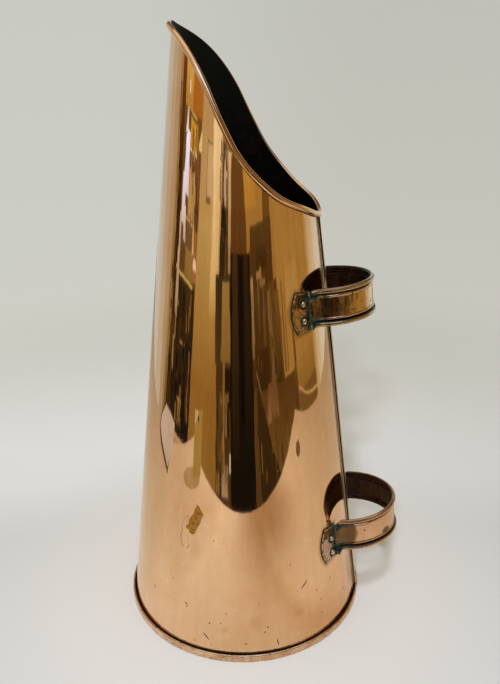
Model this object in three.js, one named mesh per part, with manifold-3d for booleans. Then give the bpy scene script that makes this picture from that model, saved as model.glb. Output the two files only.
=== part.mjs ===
// Copper coal scuttle: a tall tapered body with a slanted mouth, a folded base and two strap handles.
// Millimetres, +Z up. The origin is the centre of the underside, and +X points to the seam and the handles.
// The body, the base and the handles are sheet copper, rolled over steel wire at every free edge.
import * as THREE from "three";
import { mergeVertices } from "three/addons/utils/BufferGeometryUtils.js";
import Module from "manifold-3d";

const wasm = await Module();
wasm.setup();

// Body wall: a cone of sheet, given by its outer face.
const footRadius = 125; // where the line of the wall meets the floor
const tallLipHeight = 581.5; // centre of the mouth bead at its highest, opposite the seam
const tallLipRadius = 54.6; // wall radius at that height
const lowLipHeight = 418.5; // centre of the mouth bead over the seam
const bodySheet = 0.7;
const fitGap = 0.3; // clearance between pieces that are folded, rolled or riveted together

// Line of the mouth, from over the seam to the tall lip: share of the half turn, share of the rise.
const mouthTurnShares = [0, 0.167, 0.278, 0.361, 0.433, 0.5, 0.567, 0.639, 0.75, 1];
const mouthRiseShares = [0, 0.06, 0.128, 0.227, 0.347, 0.511, 0.682, 0.808, 0.92, 1];

// Bead of the mouth: the sheet curls outward round a wire and stops short of the wall.
const mouthWireRadius = 1.5;
const curlSlit = 0.4;

// Lock seam: the two edges of the sheet hook into each other on the outside of the wall.
const seamWidth = 6.5;
const seamGap = 0.12; // between the folded layers
const seamStopGap = 1; // the folds stop this far short of the base and of the mouth bead
const cutOverrun = 1; // how far a cutting shape runs past what it cuts
const slotOverlap = 0.01; // the slot shaves the folds beside it by this much

// Base: a disc whose edge is turned up, over the foot of the wall and down behind it.
const rimHeight = 7.6;
const rimFootChamfer = 0.5;

// Strap handles: the tabs and their rivets sit a little below the height at which the loop meets the wall.
const strapSheet = 1;
const strapHeight = 34.6; // across both beads
const strapWireRadius = 1;
const strapCurlSlit = 0.3;
const panelHeight = 18.6; // flat middle of the strap
const reedSlope = 0.9; // length of each flank of the small raised reed
const reedCrest = 0.6;
const reedAngle = THREE.MathUtils.degToRad(48);
const beadSetback = 1.5; // beyond the reed the sheet steps in before it curls over the wire
const neckRadius = 20; // the loop draws in a little before it reaches the wall
const bendRadius = 6.5; // the strap's bend out of its tab
const upperHandle = { height: 341, reach: 44.3, halfSpan: 44.8, tabDrop: 3.6, tabLength: 18, rivetDrop: 4 };
const lowerHandle = { height: 103.5, reach: 49.5, halfSpan: 46.4, tabDrop: 6, tabLength: 20, rivetDrop: 8.9 };
const handleTilt = THREE.MathUtils.degToRad(5.5);

// Tabs of the handles, lying on the wall, and their rivets.
const tabHeight = 38; // at the corners of its end; at the bend it is as high as the strap
const tabBulge = 6; // the end of the tab is convex by this much
const rivetInset = 4.2; // along the wall, from the start of the bend to the rivets
const rivetSpacing = 15.5;
const rivetShankRadius = 1.5;
const rivetHeadRadius = 2.9;
const rivetHeadHeight = 2;
const rivetTailRadius = 2.6;
const rivetTailHeight = 0.9;

// Fineness of the faceted surfaces.
const turnSteps = 72;
const curlSteps = 7;
const wireSides = 6;
const rivetSides = 8;
const loopSteps = 7;
const bendSteps = 4;
const tabSteps = 2;

const finishes = {
  body: new THREE.MeshStandardMaterial({ color: 0xc8915f, roughness: 0.22, metalness: 1 }),
  base: new THREE.MeshStandardMaterial({ color: 0xb9834f, roughness: 0.35, metalness: 1 }),
  strap: new THREE.MeshStandardMaterial({ color: 0xb57a45, roughness: 0.3, metalness: 1 }),
  rivet: new THREE.MeshStandardMaterial({ color: 0xc79360, roughness: 0.3, metalness: 1 }),
  wire: new THREE.MeshStandardMaterial({ color: 0x6a645c, roughness: 0.5, metalness: 1 }),
};

const scuttle = new THREE.Group();

function addPiece(name, geometry, finish) {
  const mesh = new THREE.Mesh(geometry, finish);
  mesh.name = name;
  scuttle.add(mesh);
  return mesh;
}

// Closed surfaces from rings of points, and solids for cutting and joining

function geometryFrom(points, faces) {
  const geometry = new THREE.BufferGeometry();
  geometry.setAttribute("position", new THREE.Float32BufferAttribute(points.flatMap((p) => p.toArray()), 3));
  geometry.setIndex(faces.flat());
  return turnedOut(geometry);
}

// Reverses the faces of a closed surface that encloses a negative volume.
function turnedOut(geometry) {
  const index = geometry.index;
  const [a, b, c] = [new THREE.Vector3(), new THREE.Vector3(), new THREE.Vector3()];
  let volume = 0;
  for (let i = 0; i < index.count; i += 3) {
    a.fromBufferAttribute(geometry.attributes.position, index.getX(i));
    b.fromBufferAttribute(geometry.attributes.position, index.getX(i + 1));
    c.fromBufferAttribute(geometry.attributes.position, index.getX(i + 2));
    volume += a.dot(b.cross(c));
  }
  if (volume < 0) {
    for (let i = 0; i < index.count; i += 3) {
      const first = index.getX(i);
      index.setX(i, index.getX(i + 1));
      index.setX(i + 1, first);
    }
  }
  return geometry;
}

function quad(a, b, c, d) {
  return [a, b, c, a, c, d];
}

// Faces between each ring and the next, where every ring has the same number of points.
function ringFaces(rings, closed) {
  const size = rings[0].length;
  const faces = [];
  const last = closed ? rings.length : rings.length - 1;
  for (let i = 0; i < last; i += 1) {
    const here = i * size;
    const there = ((i + 1) % rings.length) * size;
    for (let j = 0; j < size; j += 1) {
      const next = (j + 1) % size;
      faces.push(quad(here + j, here + next, there + next, there + j));
    }
  }
  return faces;
}

// End faces of a bent strip, whose ring runs out along one side and back along the other.
function stripCaps(rings) {
  const size = rings[0].length;
  const end = (rings.length - 1) * size;
  const faces = [];
  for (let j = 0; j < size / 2 - 1; j += 1) {
    const across = size - 1 - j;
    faces.push(quad(j, across, across - 1, j + 1));
    faces.push(quad(end + j, end + j + 1, end + across - 1, end + across));
  }
  return faces;
}

// End faces of a rod, whose ring is convex.
function rodCaps(rings) {
  const size = rings[0].length;
  const end = (rings.length - 1) * size;
  const faces = [];
  for (let j = 1; j < size - 1; j += 1) {
    faces.push([0, j + 1, j]);
    faces.push([end, end + j, end + j + 1]);
  }
  return faces;
}

function solidFrom(geometry) {
  const bare = geometry.clone();
  bare.deleteAttribute("normal");
  bare.deleteAttribute("uv");
  const merged = mergeVertices(bare);
  return new wasm.Manifold(new wasm.Mesh({
    numProp: 3,
    vertProperties: new Float32Array(merged.attributes.position.array),
    triVerts: new Uint32Array(merged.index.array),
  }));
}

function geometryOf(solid) {
  const mesh = solid.getMesh();
  const geometry = new THREE.BufferGeometry();
  geometry.setAttribute("position", new THREE.BufferAttribute(mesh.vertProperties, 3));
  geometry.setIndex(new THREE.BufferAttribute(mesh.triVerts, 1));
  return geometry;
}

// The wall as a surface: places on it by turn from the seam and by height

const wallLean = Math.atan2(footRadius - tallLipRadius, tallLipHeight);

function wallRadius(height) {
  return THREE.MathUtils.mapLinear(height, 0, tallLipHeight, footRadius, tallLipRadius);
}

function around(radius, turn, height) {
  return new THREE.Vector3(radius * Math.cos(turn), radius * Math.sin(turn), height);
}

// Square to the wall, pointing out of the scuttle.
function wallNormal(turn) {
  return around(Math.cos(wallLean), turn, Math.sin(wallLean));
}

// Along the wall, straight up its slope.
function wallUp(turn) {
  return around(-Math.sin(wallLean), turn, Math.cos(wallLean));
}

function wallPoint(turn, height, proud = 0) {
  return around(wallRadius(height), turn, height).addScaledVector(wallNormal(turn), proud);
}

const mouthLine = new THREE.CubicInterpolant(mouthTurnShares, mouthRiseShares, 1, new Float64Array(1));
mouthLine.settings = { endingStart: THREE.ZeroSlopeEnding, endingEnd: THREE.ZeroSlopeEnding };

function mouthHeight(turn) {
  const share = Math.abs(THREE.MathUtils.euclideanModulo(turn + Math.PI, 2 * Math.PI) - Math.PI) / Math.PI;
  return THREE.MathUtils.lerp(lowLipHeight, tallLipHeight, mouthLine.evaluate(share)[0]);
}

// The facets are set so that a flat one lies under the seam.
const stepTurn = (2 * Math.PI) / turnSteps;
const stationTurns = Array.from({ length: turnSteps }, (_, i) => (i + 0.5) * stepTurn);

// The bead of the mouth

const mouthCurlInside = mouthWireRadius + fitGap;
const mouthCurlOutside = mouthCurlInside + bodySheet;

// Centre of the bead at a turn, with the directions out of the wall and out of its edge.
function mouthFrame(turn) {
  const centre = (angle) => wallPoint(angle, mouthHeight(angle), mouthCurlInside);
  const along = centre(turn + stepTurn / 2).sub(centre(turn - stepTurn / 2));
  const out = wallNormal(turn);
  const up = new THREE.Vector3().crossVectors(out, along).normalize();
  return { centre: centre(turn), out, up: up.z < 0 ? up.negate() : up };
}

function onCircle({ centre, out, up }, radius, angle) {
  const point = centre.clone().addScaledVector(out, radius * Math.cos(angle));
  return point.addScaledVector(up, radius * Math.sin(angle));
}

// Angle at which a curl's outside comes within the slit of the face that it curls back to.
function curlEnd(inside, outside, slit) {
  return -Math.acos(-(inside - slit) / outside);
}

function mouthCurl(turn, radius) {
  const frame = mouthFrame(turn);
  const end = curlEnd(mouthCurlInside, mouthCurlOutside, curlSlit);
  const points = [];
  for (let i = 0; i <= curlSteps; i += 1) {
    points.push(onCircle(frame, radius, THREE.MathUtils.lerp(Math.PI, end, i / curlSteps)));
  }
  return points;
}

function makeMouthWire() {
  const rings = stationTurns.map((turn) => {
    const frame = mouthFrame(turn);
    const angles = Array.from({ length: wireSides }, (_, i) => (i * 2 * Math.PI) / wireSides);
    return angles.map((angle) => onCircle(frame, mouthWireRadius, angle));
  });
  return geometryFrom(rings.flat(), ringFaces(rings, true));
}

// Layers of the base joint, from the wall outward: fold of the base, foot of the wall, edge of the base.
const foldInside = footRadius + fitGap;
const foldOutside = foldInside + bodySheet;
const flangeInside = foldOutside + fitGap;
const flangeOutside = flangeInside + bodySheet;
const edgeInside = flangeOutside + fitGap;
const edgeOutside = edgeInside + bodySheet;
const rimRound = (edgeOutside - foldInside) / 2;
const rimShoulder = rimHeight - rimRound;
const flangeUnderside = bodySheet + fitGap;
const flangeTopside = flangeUnderside + bodySheet;

// Section of the body sheet at one turn: foot turned out and up, wall, bead curled over.
function bodySection(turn) {
  const foot = [
    [wallRadius(flangeTopside), flangeTopside],
    [flangeInside, flangeTopside],
    [flangeInside, rimShoulder],
    [flangeOutside, rimShoulder],
    [flangeOutside, flangeUnderside + rimFootChamfer],
    [flangeOutside - rimFootChamfer, flangeUnderside],
    [wallRadius(flangeUnderside) - bodySheet, flangeUnderside],
  ];
  const outer = mouthCurl(turn, mouthCurlOutside);
  const inner = mouthCurl(turn, mouthCurlInside).reverse();
  return [...foot.map(([radius, height]) => around(radius, turn, height)), ...outer, ...inner];
}

// The lock seam

const seamHalf = seamWidth / 2;
const seamLayer = bodySheet + seamGap;
const seamFoot = rimHeight + seamStopGap;
const seamHead = lowLipHeight - mouthCurlOutside - seamStopGap;

// A long bar up the wall at the seam, whose outline is given across the seam and out of the wall.
function seamBar(outline) {
  const shape = new THREE.Shape(outline.map(([across, out]) => new THREE.Vector2(across, out)));
  const length = (seamHead - seamFoot) / Math.cos(wallLean);
  const bar = new THREE.ExtrudeGeometry(shape, { depth: length, bevelEnabled: false });
  const facetRadius = wallRadius(seamFoot) * Math.cos(stepTurn / 2);
  const place = new THREE.Matrix4().makeBasis(new THREE.Vector3(0, -1, 0), wallNormal(0), wallUp(0));
  bar.applyMatrix4(place.setPosition(around(facetRadius, 0, seamFoot)));
  return solidFrom(bar);
}

// The hook of the edge that runs under the seam: up beside the slot and back over one layer.
function innerHook() {
  const side = bodySheet + seamGap - seamHalf;
  const end = seamHalf - seamLayer;
  const top = 2 * seamLayer;
  return seamBar([
    [side, -bodySheet / 2],
    [side + bodySheet, -bodySheet / 2],
    [side + bodySheet, top - bodySheet],
    [end, top - bodySheet],
    [end, top],
    [side, top],
  ]);
}

// The hook of the edge that steps over it: up, across the top, and back under the first hook.
function outerHook() {
  const top = 3 * seamLayer;
  const round = bodySheet / 2;
  const end = 2 * seamLayer - seamHalf;
  return seamBar([
    [-seamHalf, -round],
    [bodySheet - seamHalf, -round],
    [bodySheet - seamHalf, top - bodySheet],
    [seamHalf - bodySheet, top - bodySheet],
    [seamHalf - bodySheet, seamLayer],
    [end, seamLayer],
    [end, seamGap],
    [seamHalf - round, seamGap],
    [seamHalf, seamGap + round],
    [seamHalf, top - round],
    [seamHalf - round, top],
    [round - seamHalf, top],
    [-seamHalf, top - round],
  ]);
}

// The gap between the two edges, open to the inside of the scuttle.
function seamSlot() {
  const start = bodySheet - seamHalf - slotOverlap;
  const end = bodySheet + seamGap - seamHalf + slotOverlap;
  return seamBar([
    [start, -bodySheet - cutOverrun],
    [end, -bodySheet - cutOverrun],
    [end, seamLayer],
    [start, seamLayer],
  ]);
}

// Rivets: each has a frame on the wall, shared by its holes and its body

const handles = [
  { name: "upper_handle", ...upperHandle },
  { name: "lower_handle", ...lowerHandle },
];
const sides = [
  { name: "left", sign: -1 },
  { name: "right", sign: 1 },
];

function rivetPlaces(handle) {
  const { leaveTurn, tabRadius } = strapRoute(handle);
  const turn = leaveTurn + rivetInset / tabRadius;
  const middle = handle.height - handle.rivetDrop;
  const heights = { top: middle + rivetSpacing / 2, bottom: middle - rivetSpacing / 2 };
  return sides.flatMap((side) => Object.entries(heights).map(([level, height]) => ({
    name: `${handle.name}_rivet_${side.name}_${level}`,
    turn: side.sign * turn,
    height,
  })));
}

const strapOutside = fitGap + strapSheet; // outer face of a tab, out from the wall
const outward = new THREE.Vector3(0, 0, 1);

function rivetHole({ turn, height }) {
  const start = -bodySheet - cutOverrun;
  const length = strapOutside + cutOverrun - start;
  const hole = new THREE.CylinderGeometry(rivetShankRadius + fitGap, rivetShankRadius + fitGap, length, rivetSides);
  hole.rotateX(Math.PI / 2);
  hole.translate(0, 0, start + length / 2);
  hole.applyQuaternion(new THREE.Quaternion().setFromUnitVectors(outward, wallNormal(turn)));
  hole.translate(...wallPoint(turn, height).toArray());
  return solidFrom(hole);
}

function makeRivet() {
  const tailTop = -bodySheet - fitGap;
  const headFoot = strapOutside + fitGap;
  const dome = (angle) => [rivetHeadRadius * Math.cos(angle), headFoot + rivetHeadHeight * Math.sin(angle)];
  const profile = [
    [0, tailTop - rivetTailHeight],
    [rivetTailRadius, tailTop - rivetTailHeight],
    [rivetTailRadius, tailTop],
    [rivetShankRadius, tailTop],
    [rivetShankRadius, headFoot],
    dome(0),
    dome(Math.PI / 6),
    dome(Math.PI / 3),
    [0, headFoot + rivetHeadHeight],
  ];
  const rivet = new THREE.LatheGeometry(profile.map(([radius, out]) => new THREE.Vector2(radius, out)), rivetSides);
  return rivet.rotateX(Math.PI / 2);
}

// The body, joined from its sheet and seam and cut for the rivets
function makeBody() {
  const rings = stationTurns.map(bodySection);
  let body = solidFrom(geometryFrom(rings.flat(), ringFaces(rings, true)));
  body = body.add(innerHook()).add(outerHook()).subtract(seamSlot());
  for (const place of handles.flatMap(rivetPlaces)) {
    body = body.subtract(rivetHole(place));
  }
  return geometryOf(body);
}

// The base: flat disc, edge up, half round over the foot of the wall, and down behind it
function makeBase() {
  const halfRound = (inside, outside, steps) => {
    const centre = (inside + outside) / 2;
    const radius = (outside - inside) / 2;
    return Array.from({ length: steps + 1 }, (_, i) => {
      const angle = (i * Math.PI) / steps;
      return [centre + radius * Math.cos(angle), rimShoulder + radius * Math.sin(angle)];
    });
  };
  const profile = [
    [0, 0],
    [edgeOutside - rimFootChamfer, 0],
    [edgeOutside, rimFootChamfer],
    ...halfRound(foldInside, edgeOutside, 4),
    [foldInside, flangeTopside + fitGap],
    [foldOutside, flangeTopside + fitGap],
    ...halfRound(foldOutside, edgeInside, 2).reverse(),
    [edgeInside, bodySheet],
    [0, bodySheet],
  ];
  const points = profile.map(([radius, height]) => new THREE.Vector2(radius, height));
  return new THREE.LatheGeometry(points, turnSteps, stepTurn / 2).rotateX(Math.PI / 2);
}

// Strap section: the sheet's middle line as lengths and headings, from the centre to one edge

const curlInside = strapWireRadius + fitGap;
const curlOutside = curlInside + strapSheet;
const curlMiddle = curlInside + strapSheet / 2;
const curlStart = strapHeight / 2 - curlOutside;
const curlTurn = Math.PI - curlEnd(curlInside, curlOutside, strapCurlSlit);
const reedDrop = reedSlope + beadSetback / Math.sin(reedAngle);
const reedWidth = (reedSlope + reedDrop) * Math.cos(reedAngle) + reedCrest;

function strapSteps() {
  const curlStep = curlTurn / curlSteps;
  const chord = 2 * curlMiddle * Math.sin(curlStep / 2);
  const curl = Array.from({ length: curlSteps }, (_, i) => [chord, (i + 0.5) * curlStep]);
  return [
    [panelHeight / 2, 0],
    [reedSlope, reedAngle],
    [reedCrest, 0],
    [reedDrop, -reedAngle],
    [curlStart - panelHeight / 2 - reedWidth, 0],
    ...curl,
  ];
}

// The middle line at a form between 0, flat as on the tab, and 1, reeded and curled.
function middleLine(form) {
  let point = new THREE.Vector2();
  return strapSteps().map(([length, heading]) => {
    const run = new THREE.Vector2(Math.cos(heading * form), Math.sin(heading * form));
    point = point.clone().addScaledVector(run, length);
    return { point, heading: heading * form };
  });
}

function halfExtent(line) {
  return Math.max(...line.map(({ point }) => point.x));
}

// Half of the section, stretched to the half height that it has when it is flat or curled.
function halfSection(form, flatHalf) {
  const line = middleLine(form);
  const half = THREE.MathUtils.lerp(flatHalf, halfExtent(middleLine(1)), form);
  const stretch = half / halfExtent(line);
  return line.map(({ point, heading }, i) => {
    const next = line[Math.min(i + 1, line.length - 1)].heading;
    const bisector = (heading + next) / 2;
    const offset = strapSheet / 2 / Math.cos((next - heading) / 2);
    const side = new THREE.Vector2(-Math.sin(bisector), Math.cos(bisector)).multiplyScalar(offset);
    const middle = point.clone().multiplyScalar(stretch);
    return { outer: middle.clone().add(side), inner: middle.sub(side) };
  });
}

// The whole section: up along the outer face and down along the inner one.
function strapSection({ form, flatHalf }) {
  const half = halfSection(form, flatHalf);
  const mirror = (p) => new THREE.Vector2(-p.x, p.y);
  const outer = [...half.map(({ outer: p }) => mirror(p)).reverse(), ...half.map(({ outer: p }) => p)];
  const inner = [...half.map(({ inner: p }) => mirror(p)).reverse(), ...half.map(({ inner: p }) => p)];
  return [...outer, ...inner.reverse()];
}

// Route of a strap in plan, from the tip of its right tab to its farthest point

function strapRoute(handle) {
  const centre = wallRadius(handle.height);
  const tabMiddle = handle.height - handle.tabDrop;
  const tabRadius = wallRadius(tabMiddle) + fitGap + strapSheet / 2;
  const neck = new THREE.Vector2(centre, handle.halfSpan - neckRadius);
  const bend = circleCrossing(tabRadius + bendRadius, neck, neckRadius + bendRadius);
  const leaveTurn = Math.atan2(bend.y, bend.x);
  const neckTurn = Math.atan2(bend.y - neck.y, bend.x - neck.x);
  return { handle, centre, tabMiddle, tabRadius, neck, bend, leaveTurn, neckTurn };
}

// The point in the first quarter that lies at a distance from the axis and at another from a centre.
function circleCrossing(axisDistance, centre, distance) {
  const span = centre.length();
  const along = (axisDistance ** 2 - distance ** 2 + span ** 2) / (2 * span);
  const aside = Math.sqrt(axisDistance ** 2 - along ** 2);
  const direction = centre.clone().divideScalar(span);
  const square = new THREE.Vector2(-direction.y, direction.x);
  return direction.multiplyScalar(along).addScaledVector(square, aside);
}

// A place on the strap off its tab: the height settles from the tab's to the tilted plane of the loop.
function loopStation({ handle, centre, tabMiddle }, x, y, heading, form) {
  const plane = handle.height + Math.tan(handleTilt) * (x - centre);
  const point = new THREE.Vector3(x, y, THREE.MathUtils.lerp(tabMiddle, plane, form));
  const loopUp = new THREE.Vector3(-Math.sin(handleTilt), 0, Math.cos(handleTilt));
  const up = wallUp(Math.atan2(y, x)).lerp(loopUp, form).normalize();
  const run = new THREE.Vector3(Math.cos(heading), Math.sin(heading), 0);
  const out = new THREE.Vector3().crossVectors(up, run).normalize();
  return { form, flatHalf: strapHeight / 2, frameAt: () => ({ point, up, out }) };
}

// A place on the tab: stations fan out to the convex end, so the place depends on the height across.
function tabStation(route, share) {
  const { handle, tabMiddle, tabRadius, leaveTurn } = route;
  const frameAt = (across) => {
    const bulge = tabBulge * (across / (tabHeight / 2)) ** 2;
    const endTurn = leaveTurn + (handle.tabLength - bulge) / tabRadius;
    const turn = THREE.MathUtils.lerp(leaveTurn, endTurn, share);
    return { point: around(tabRadius, turn, tabMiddle), up: wallUp(turn), out: wallNormal(turn) };
  };
  return { form: 0, flatHalf: THREE.MathUtils.lerp(strapHeight, tabHeight, share) / 2, frameAt };
}

function strapStations(route) {
  const { handle, centre, neck, bend, leaveTurn, neckTurn } = route;
  const stations = [];
  for (let i = 0; i <= tabSteps; i += 1) {
    stations.push(tabStation(route, 1 - i / tabSteps));
  }
  const bendStart = leaveTurn + Math.PI;
  const bendEnd = neckTurn + Math.PI;
  for (let i = 1; i <= bendSteps; i += 1) {
    const angle = THREE.MathUtils.lerp(bendStart, bendEnd, i / bendSteps);
    const [x, y] = [bend.x + bendRadius * Math.cos(angle), bend.y + bendRadius * Math.sin(angle)];
    const form = THREE.MathUtils.smoothstep(i, 0, bendSteps + 1);
    stations.push(loopStation(route, x, y, angle + Math.PI / 2, form));
  }
  for (let i = 0; i <= loopSteps; i += 1) {
    const angle = (Math.PI / 2) * (1 - i / loopSteps);
    const x = centre + handle.reach * Math.cos(angle);
    const y = handle.halfSpan * Math.sin(angle);
    const heading = Math.atan2(-handle.halfSpan * Math.cos(angle), handle.reach * Math.sin(angle));
    stations.push(loopStation(route, x, y, heading, 1));
  }
  return stations;
}

// A point of a station's section, on the right of the loop or mirrored to the left.
function onStation(station, across, out, sign) {
  const frame = station.frameAt(across);
  const point = frame.point.clone().addScaledVector(frame.up, across).addScaledVector(frame.out, out);
  point.y *= sign;
  return point;
}

// Rings of a sweep along the whole strap, where ringAt gives one from a station and a side.
function sweepBothSides(stations, ringAt) {
  const right = stations.map((station) => ringAt(station, 1));
  const left = stations.slice(0, -1).reverse().map((station) => ringAt(station, -1));
  return [...right, ...left];
}

function makeStrap(handle) {
  const stations = strapStations(strapRoute(handle));
  const rings = sweepBothSides(stations, (station, sign) => (
    strapSection(station).map((p) => onStation(station, p.x, p.y, sign))
  ));
  let strap = solidFrom(geometryFrom(rings.flat(), [...ringFaces(rings, false), ...stripCaps(rings)]));
  for (const place of rivetPlaces(handle)) {
    strap = strap.subtract(rivetHole(place));
  }
  return geometryOf(strap);
}

// The wire in one edge of a strap, as long as the fully curled part.
function makeStrapWire(handle, edge) {
  const stations = strapStations(strapRoute(handle)).filter(({ form }) => form === 1);
  const angles = Array.from({ length: wireSides }, (_, i) => (i * 2 * Math.PI) / wireSides);
  const rings = sweepBothSides(stations, (station, sign) => angles.map((angle) => {
    const across = edge * curlStart + strapWireRadius * Math.cos(angle);
    const out = curlMiddle - beadSetback + strapWireRadius * Math.sin(angle);
    return onStation(station, across, out, sign);
  }));
  return geometryFrom(rings.flat(), [...ringFaces(rings, false), ...rodCaps(rings)]);
}

// Assembly

addPiece("body_shell", makeBody(), finishes.body);
addPiece("mouth_wire", makeMouthWire(), finishes.wire);
addPiece("base_plate", makeBase(), finishes.base);
for (const handle of handles) {
  addPiece(`${handle.name}_strap`, makeStrap(handle), finishes.strap);
  addPiece(`${handle.name}_top_wire`, makeStrapWire(handle, 1), finishes.wire);
  addPiece(`${handle.name}_bottom_wire`, makeStrapWire(handle, -1), finishes.wire);
  for (const place of rivetPlaces(handle)) {
    const rivet = addPiece(place.name, makeRivet(), finishes.rivet);
    rivet.position.copy(wallPoint(place.turn, place.height));
    rivet.quaternion.setFromUnitVectors(outward, wallNormal(place.turn));
  }
}

export default scuttle;
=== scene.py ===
# Copper coal scuttle: fine sheet metal round the frame, procedural finishes, a plain studio and the camera.
# Metres, +Z up. The origin is the centre of the underside, and +X points to the seam and the handles.
import math

import bpy
import numpy as np
from mathutils import Matrix, Vector


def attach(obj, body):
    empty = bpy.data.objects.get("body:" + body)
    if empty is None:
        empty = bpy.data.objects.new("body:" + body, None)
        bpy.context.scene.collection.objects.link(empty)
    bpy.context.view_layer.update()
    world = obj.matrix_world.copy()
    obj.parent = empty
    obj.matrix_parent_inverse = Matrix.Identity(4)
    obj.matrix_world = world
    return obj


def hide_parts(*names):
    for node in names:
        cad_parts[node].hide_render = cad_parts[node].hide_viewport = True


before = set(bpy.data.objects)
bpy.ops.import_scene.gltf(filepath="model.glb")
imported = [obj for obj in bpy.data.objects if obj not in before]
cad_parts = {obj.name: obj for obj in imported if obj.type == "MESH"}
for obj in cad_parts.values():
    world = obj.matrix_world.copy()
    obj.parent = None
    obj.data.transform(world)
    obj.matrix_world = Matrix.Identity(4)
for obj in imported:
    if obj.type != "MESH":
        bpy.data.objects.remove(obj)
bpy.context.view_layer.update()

# Body wall: a cone of sheet, given by its outer face
FOOT_RADIUS = 0.125
TALL_LIP_HEIGHT = 0.5815
TALL_LIP_RADIUS = 0.0546
LOW_LIP_HEIGHT = 0.4185
SHEET = 0.0007
FIT_GAP = 0.0003
MOUTH_TURN_SHARES = (0, 0.167, 0.278, 0.361, 0.433, 0.5, 0.567, 0.639, 0.75, 1)
MOUTH_RISE_SHARES = (0, 0.06, 0.128, 0.227, 0.347, 0.511, 0.682, 0.808, 0.92, 1)
MOUTH_WIRE_RADIUS = 0.0015
CURL_SLIT = 0.0004
# The round edges stay this far inside the box of the frame, whose faces are flat
BOX_INSET = 0.0004

# Lock seam
SEAM_WIDTH = 0.0065
SEAM_GAP = 0.00012
SEAM_STOP_GAP = 0.001
SEAM_CROWN = 0.0006
SEAM_FOOT_INSET = 0.0002
SEAM_HOOK_INSET = 0.0013
SEAM_ROWS = 60
# Where a highlight is painted on the seam's darkened side: how far out from the wall, how high, and the
# soft edge of each. Soft edges of marks are all given as two distances: where the mark begins, and where it
# is full.
SEAM_HIGHLIGHT_OUT = 0.0015
SEAM_HIGHLIGHT_EDGE = (0.00056, 0.00021)
SEAM_HIGHLIGHT_HEIGHT = 0.343
SEAM_HIGHLIGHT_END = (0.0192, 0.0072)
# The painted highlight along its foot, out from the wall, and its undarkened crown, in from the top
SEAM_FOOT_EDGE = (0.00065, 0.00035)
SEAM_CROWN_EDGE = (0.00035, 0.00015)
# How strongly the painted highlight tints the seam pale
SEAM_HIGHLIGHT_TINT = 0.8

# Base joint
RIM_HEIGHT = 0.0076
BASE_CHAMFER = 0.0005
BASE_SEGMENTS = 360
# Rings of points on its flat faces, and where grime and painted shade start, in from the fold's middle and
# up
BASE_RINGS_BELOW = (0.03, 0.06, 0.09, 0.11)
BASE_RINGS_ABOVE = (0.11, 0.08, 0.04)
BASE_GRIME_AND_SHADE_INSET = 0.0012
BASE_GRIME_AND_SHADE_FOOT = 0.001

# How far grime and painted shade reach down from the bead and up from the rim, and how much farther up on
# one side
BEAD_GRIME_AND_SHADE = 0.0011
RIM_GRIME_AND_SHADE = 0.0006
RIM_GRIME_AND_SHADE_MORE = 0.0013
RIM_GRIME_AND_SHADE_TURN = math.radians(-84)

# Strap handles
STRAP_SHEET = 0.001
STRAP_HEIGHT = 0.0346
STRAP_WIRE_RADIUS = 0.001
STRAP_CURL_SLIT = 0.0003
PANEL_HEIGHT = 0.0186
REED_SLOPE = 0.0009
REED_CREST = 0.0006
REED_ANGLE = math.radians(48)
BEAD_SETBACK = 0.0015
CORNER_LENGTH = 0.0009
NECK_RADIUS = 0.02
BEND_RADIUS = 0.0065
HANDLE_TILT = math.radians(5.5)
HANDLES = {
    "upper_handle": dict(height=0.341, reach=0.0443, half_span=0.0448, tab_drop=0.0036, tab_length=0.018,
                         rivet_drop=0.004),
    "lower_handle": dict(height=0.1035, reach=0.0494, half_span=0.0464, tab_drop=0.006, tab_length=0.02,
                         rivet_drop=0.0089),
}
# Tarnished places on the outside of each strap: distance from the farthest point of the loop, height on the
# strap, half length, half height and strength. The distance is more than zero on the left.
TARNISH = {
    "upper_handle": (
        (0.08, 0, 0.026, 0.024, 0.9),
        (0.058, 0.002, 0.006, 0.01, 0.7),
        (0.041, 0.006, 0.002, 0.007, 0.9),
        (0.048, 0.003, 0.0022, 0.006, 0.8),
        (0.036, 0.006, 0.0015, 0.005, 0.8),
        (0.015, -0.004, 0.0016, 0.003, 0.8),
        (0.005, 0.003, 0.0016, 0.004, 0.9),
        (-0.001, -0.004, 0.0016, 0.002, 0.9),
        (-0.07, 0, 0.03, 1, 0.8),
    ),
    "lower_handle": (
        (0.087, 0.002, 0.03, 0.028, 1.0),
        (0.028, -0.007, 0.0075, 0.0045, 0.75),
        (-0.002, 0, 0.014, 1, 0.75),
        (0.055, 0.003, 0.0016, 0.002, 0.7),
        (-0.07, 0, 0.03, 1, 0.8),
    ),
}
TAB_HEIGHT = 0.038
TAB_BULGE = 0.006
RIVET_INSET = 0.0042
RIVET_SPACING = 0.0155
RIVET_SHANK_RADIUS = 0.0015
RIVET_HEAD_RADIUS = 0.0029
RIVET_HEAD_HEIGHT = 0.002
RIVET_TAIL_RADIUS = 0.0026
RIVET_TAIL_HEIGHT = 0.0009
RIVET_SEGMENTS = 32
# Marks on a strap by their distance past the end of its tab: where its section is formed, where verdigris
# comes, where the tab's own finish ends, and the dirt beside it with its strength
FORMED_EDGE = (0.001, 0.007)
NEAR_TAB_EDGE = (0.034, 0)
ON_TAB_EDGE = (0.004, 0)
BESIDE_TAB_EDGE = (0.0075, 0.0025)
BESIDE_TAB = 0.8
# Marks on a tab: a line along its edge and the bevel with a painted highlight, by their distance from the
# edge, and the dirt round its rivets and at its root
TAB_LINE = 0.0021
TAB_LINE_EDGE = (0.00084, 0.00024)
TAB_BEVEL_EDGE = (0.0016, 0.0012)
RIVET_DIRT_EDGE = (0.00352, 0.00132)
ROOT_DIRT_EDGE = (0.0025, 0)
# The widths of the soft edges across a strap
MARK_SOFT = 0.0003
CURL_MARK_SOFT = 0.0006
INNER_MARK_SOFT = 0.0008
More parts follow.
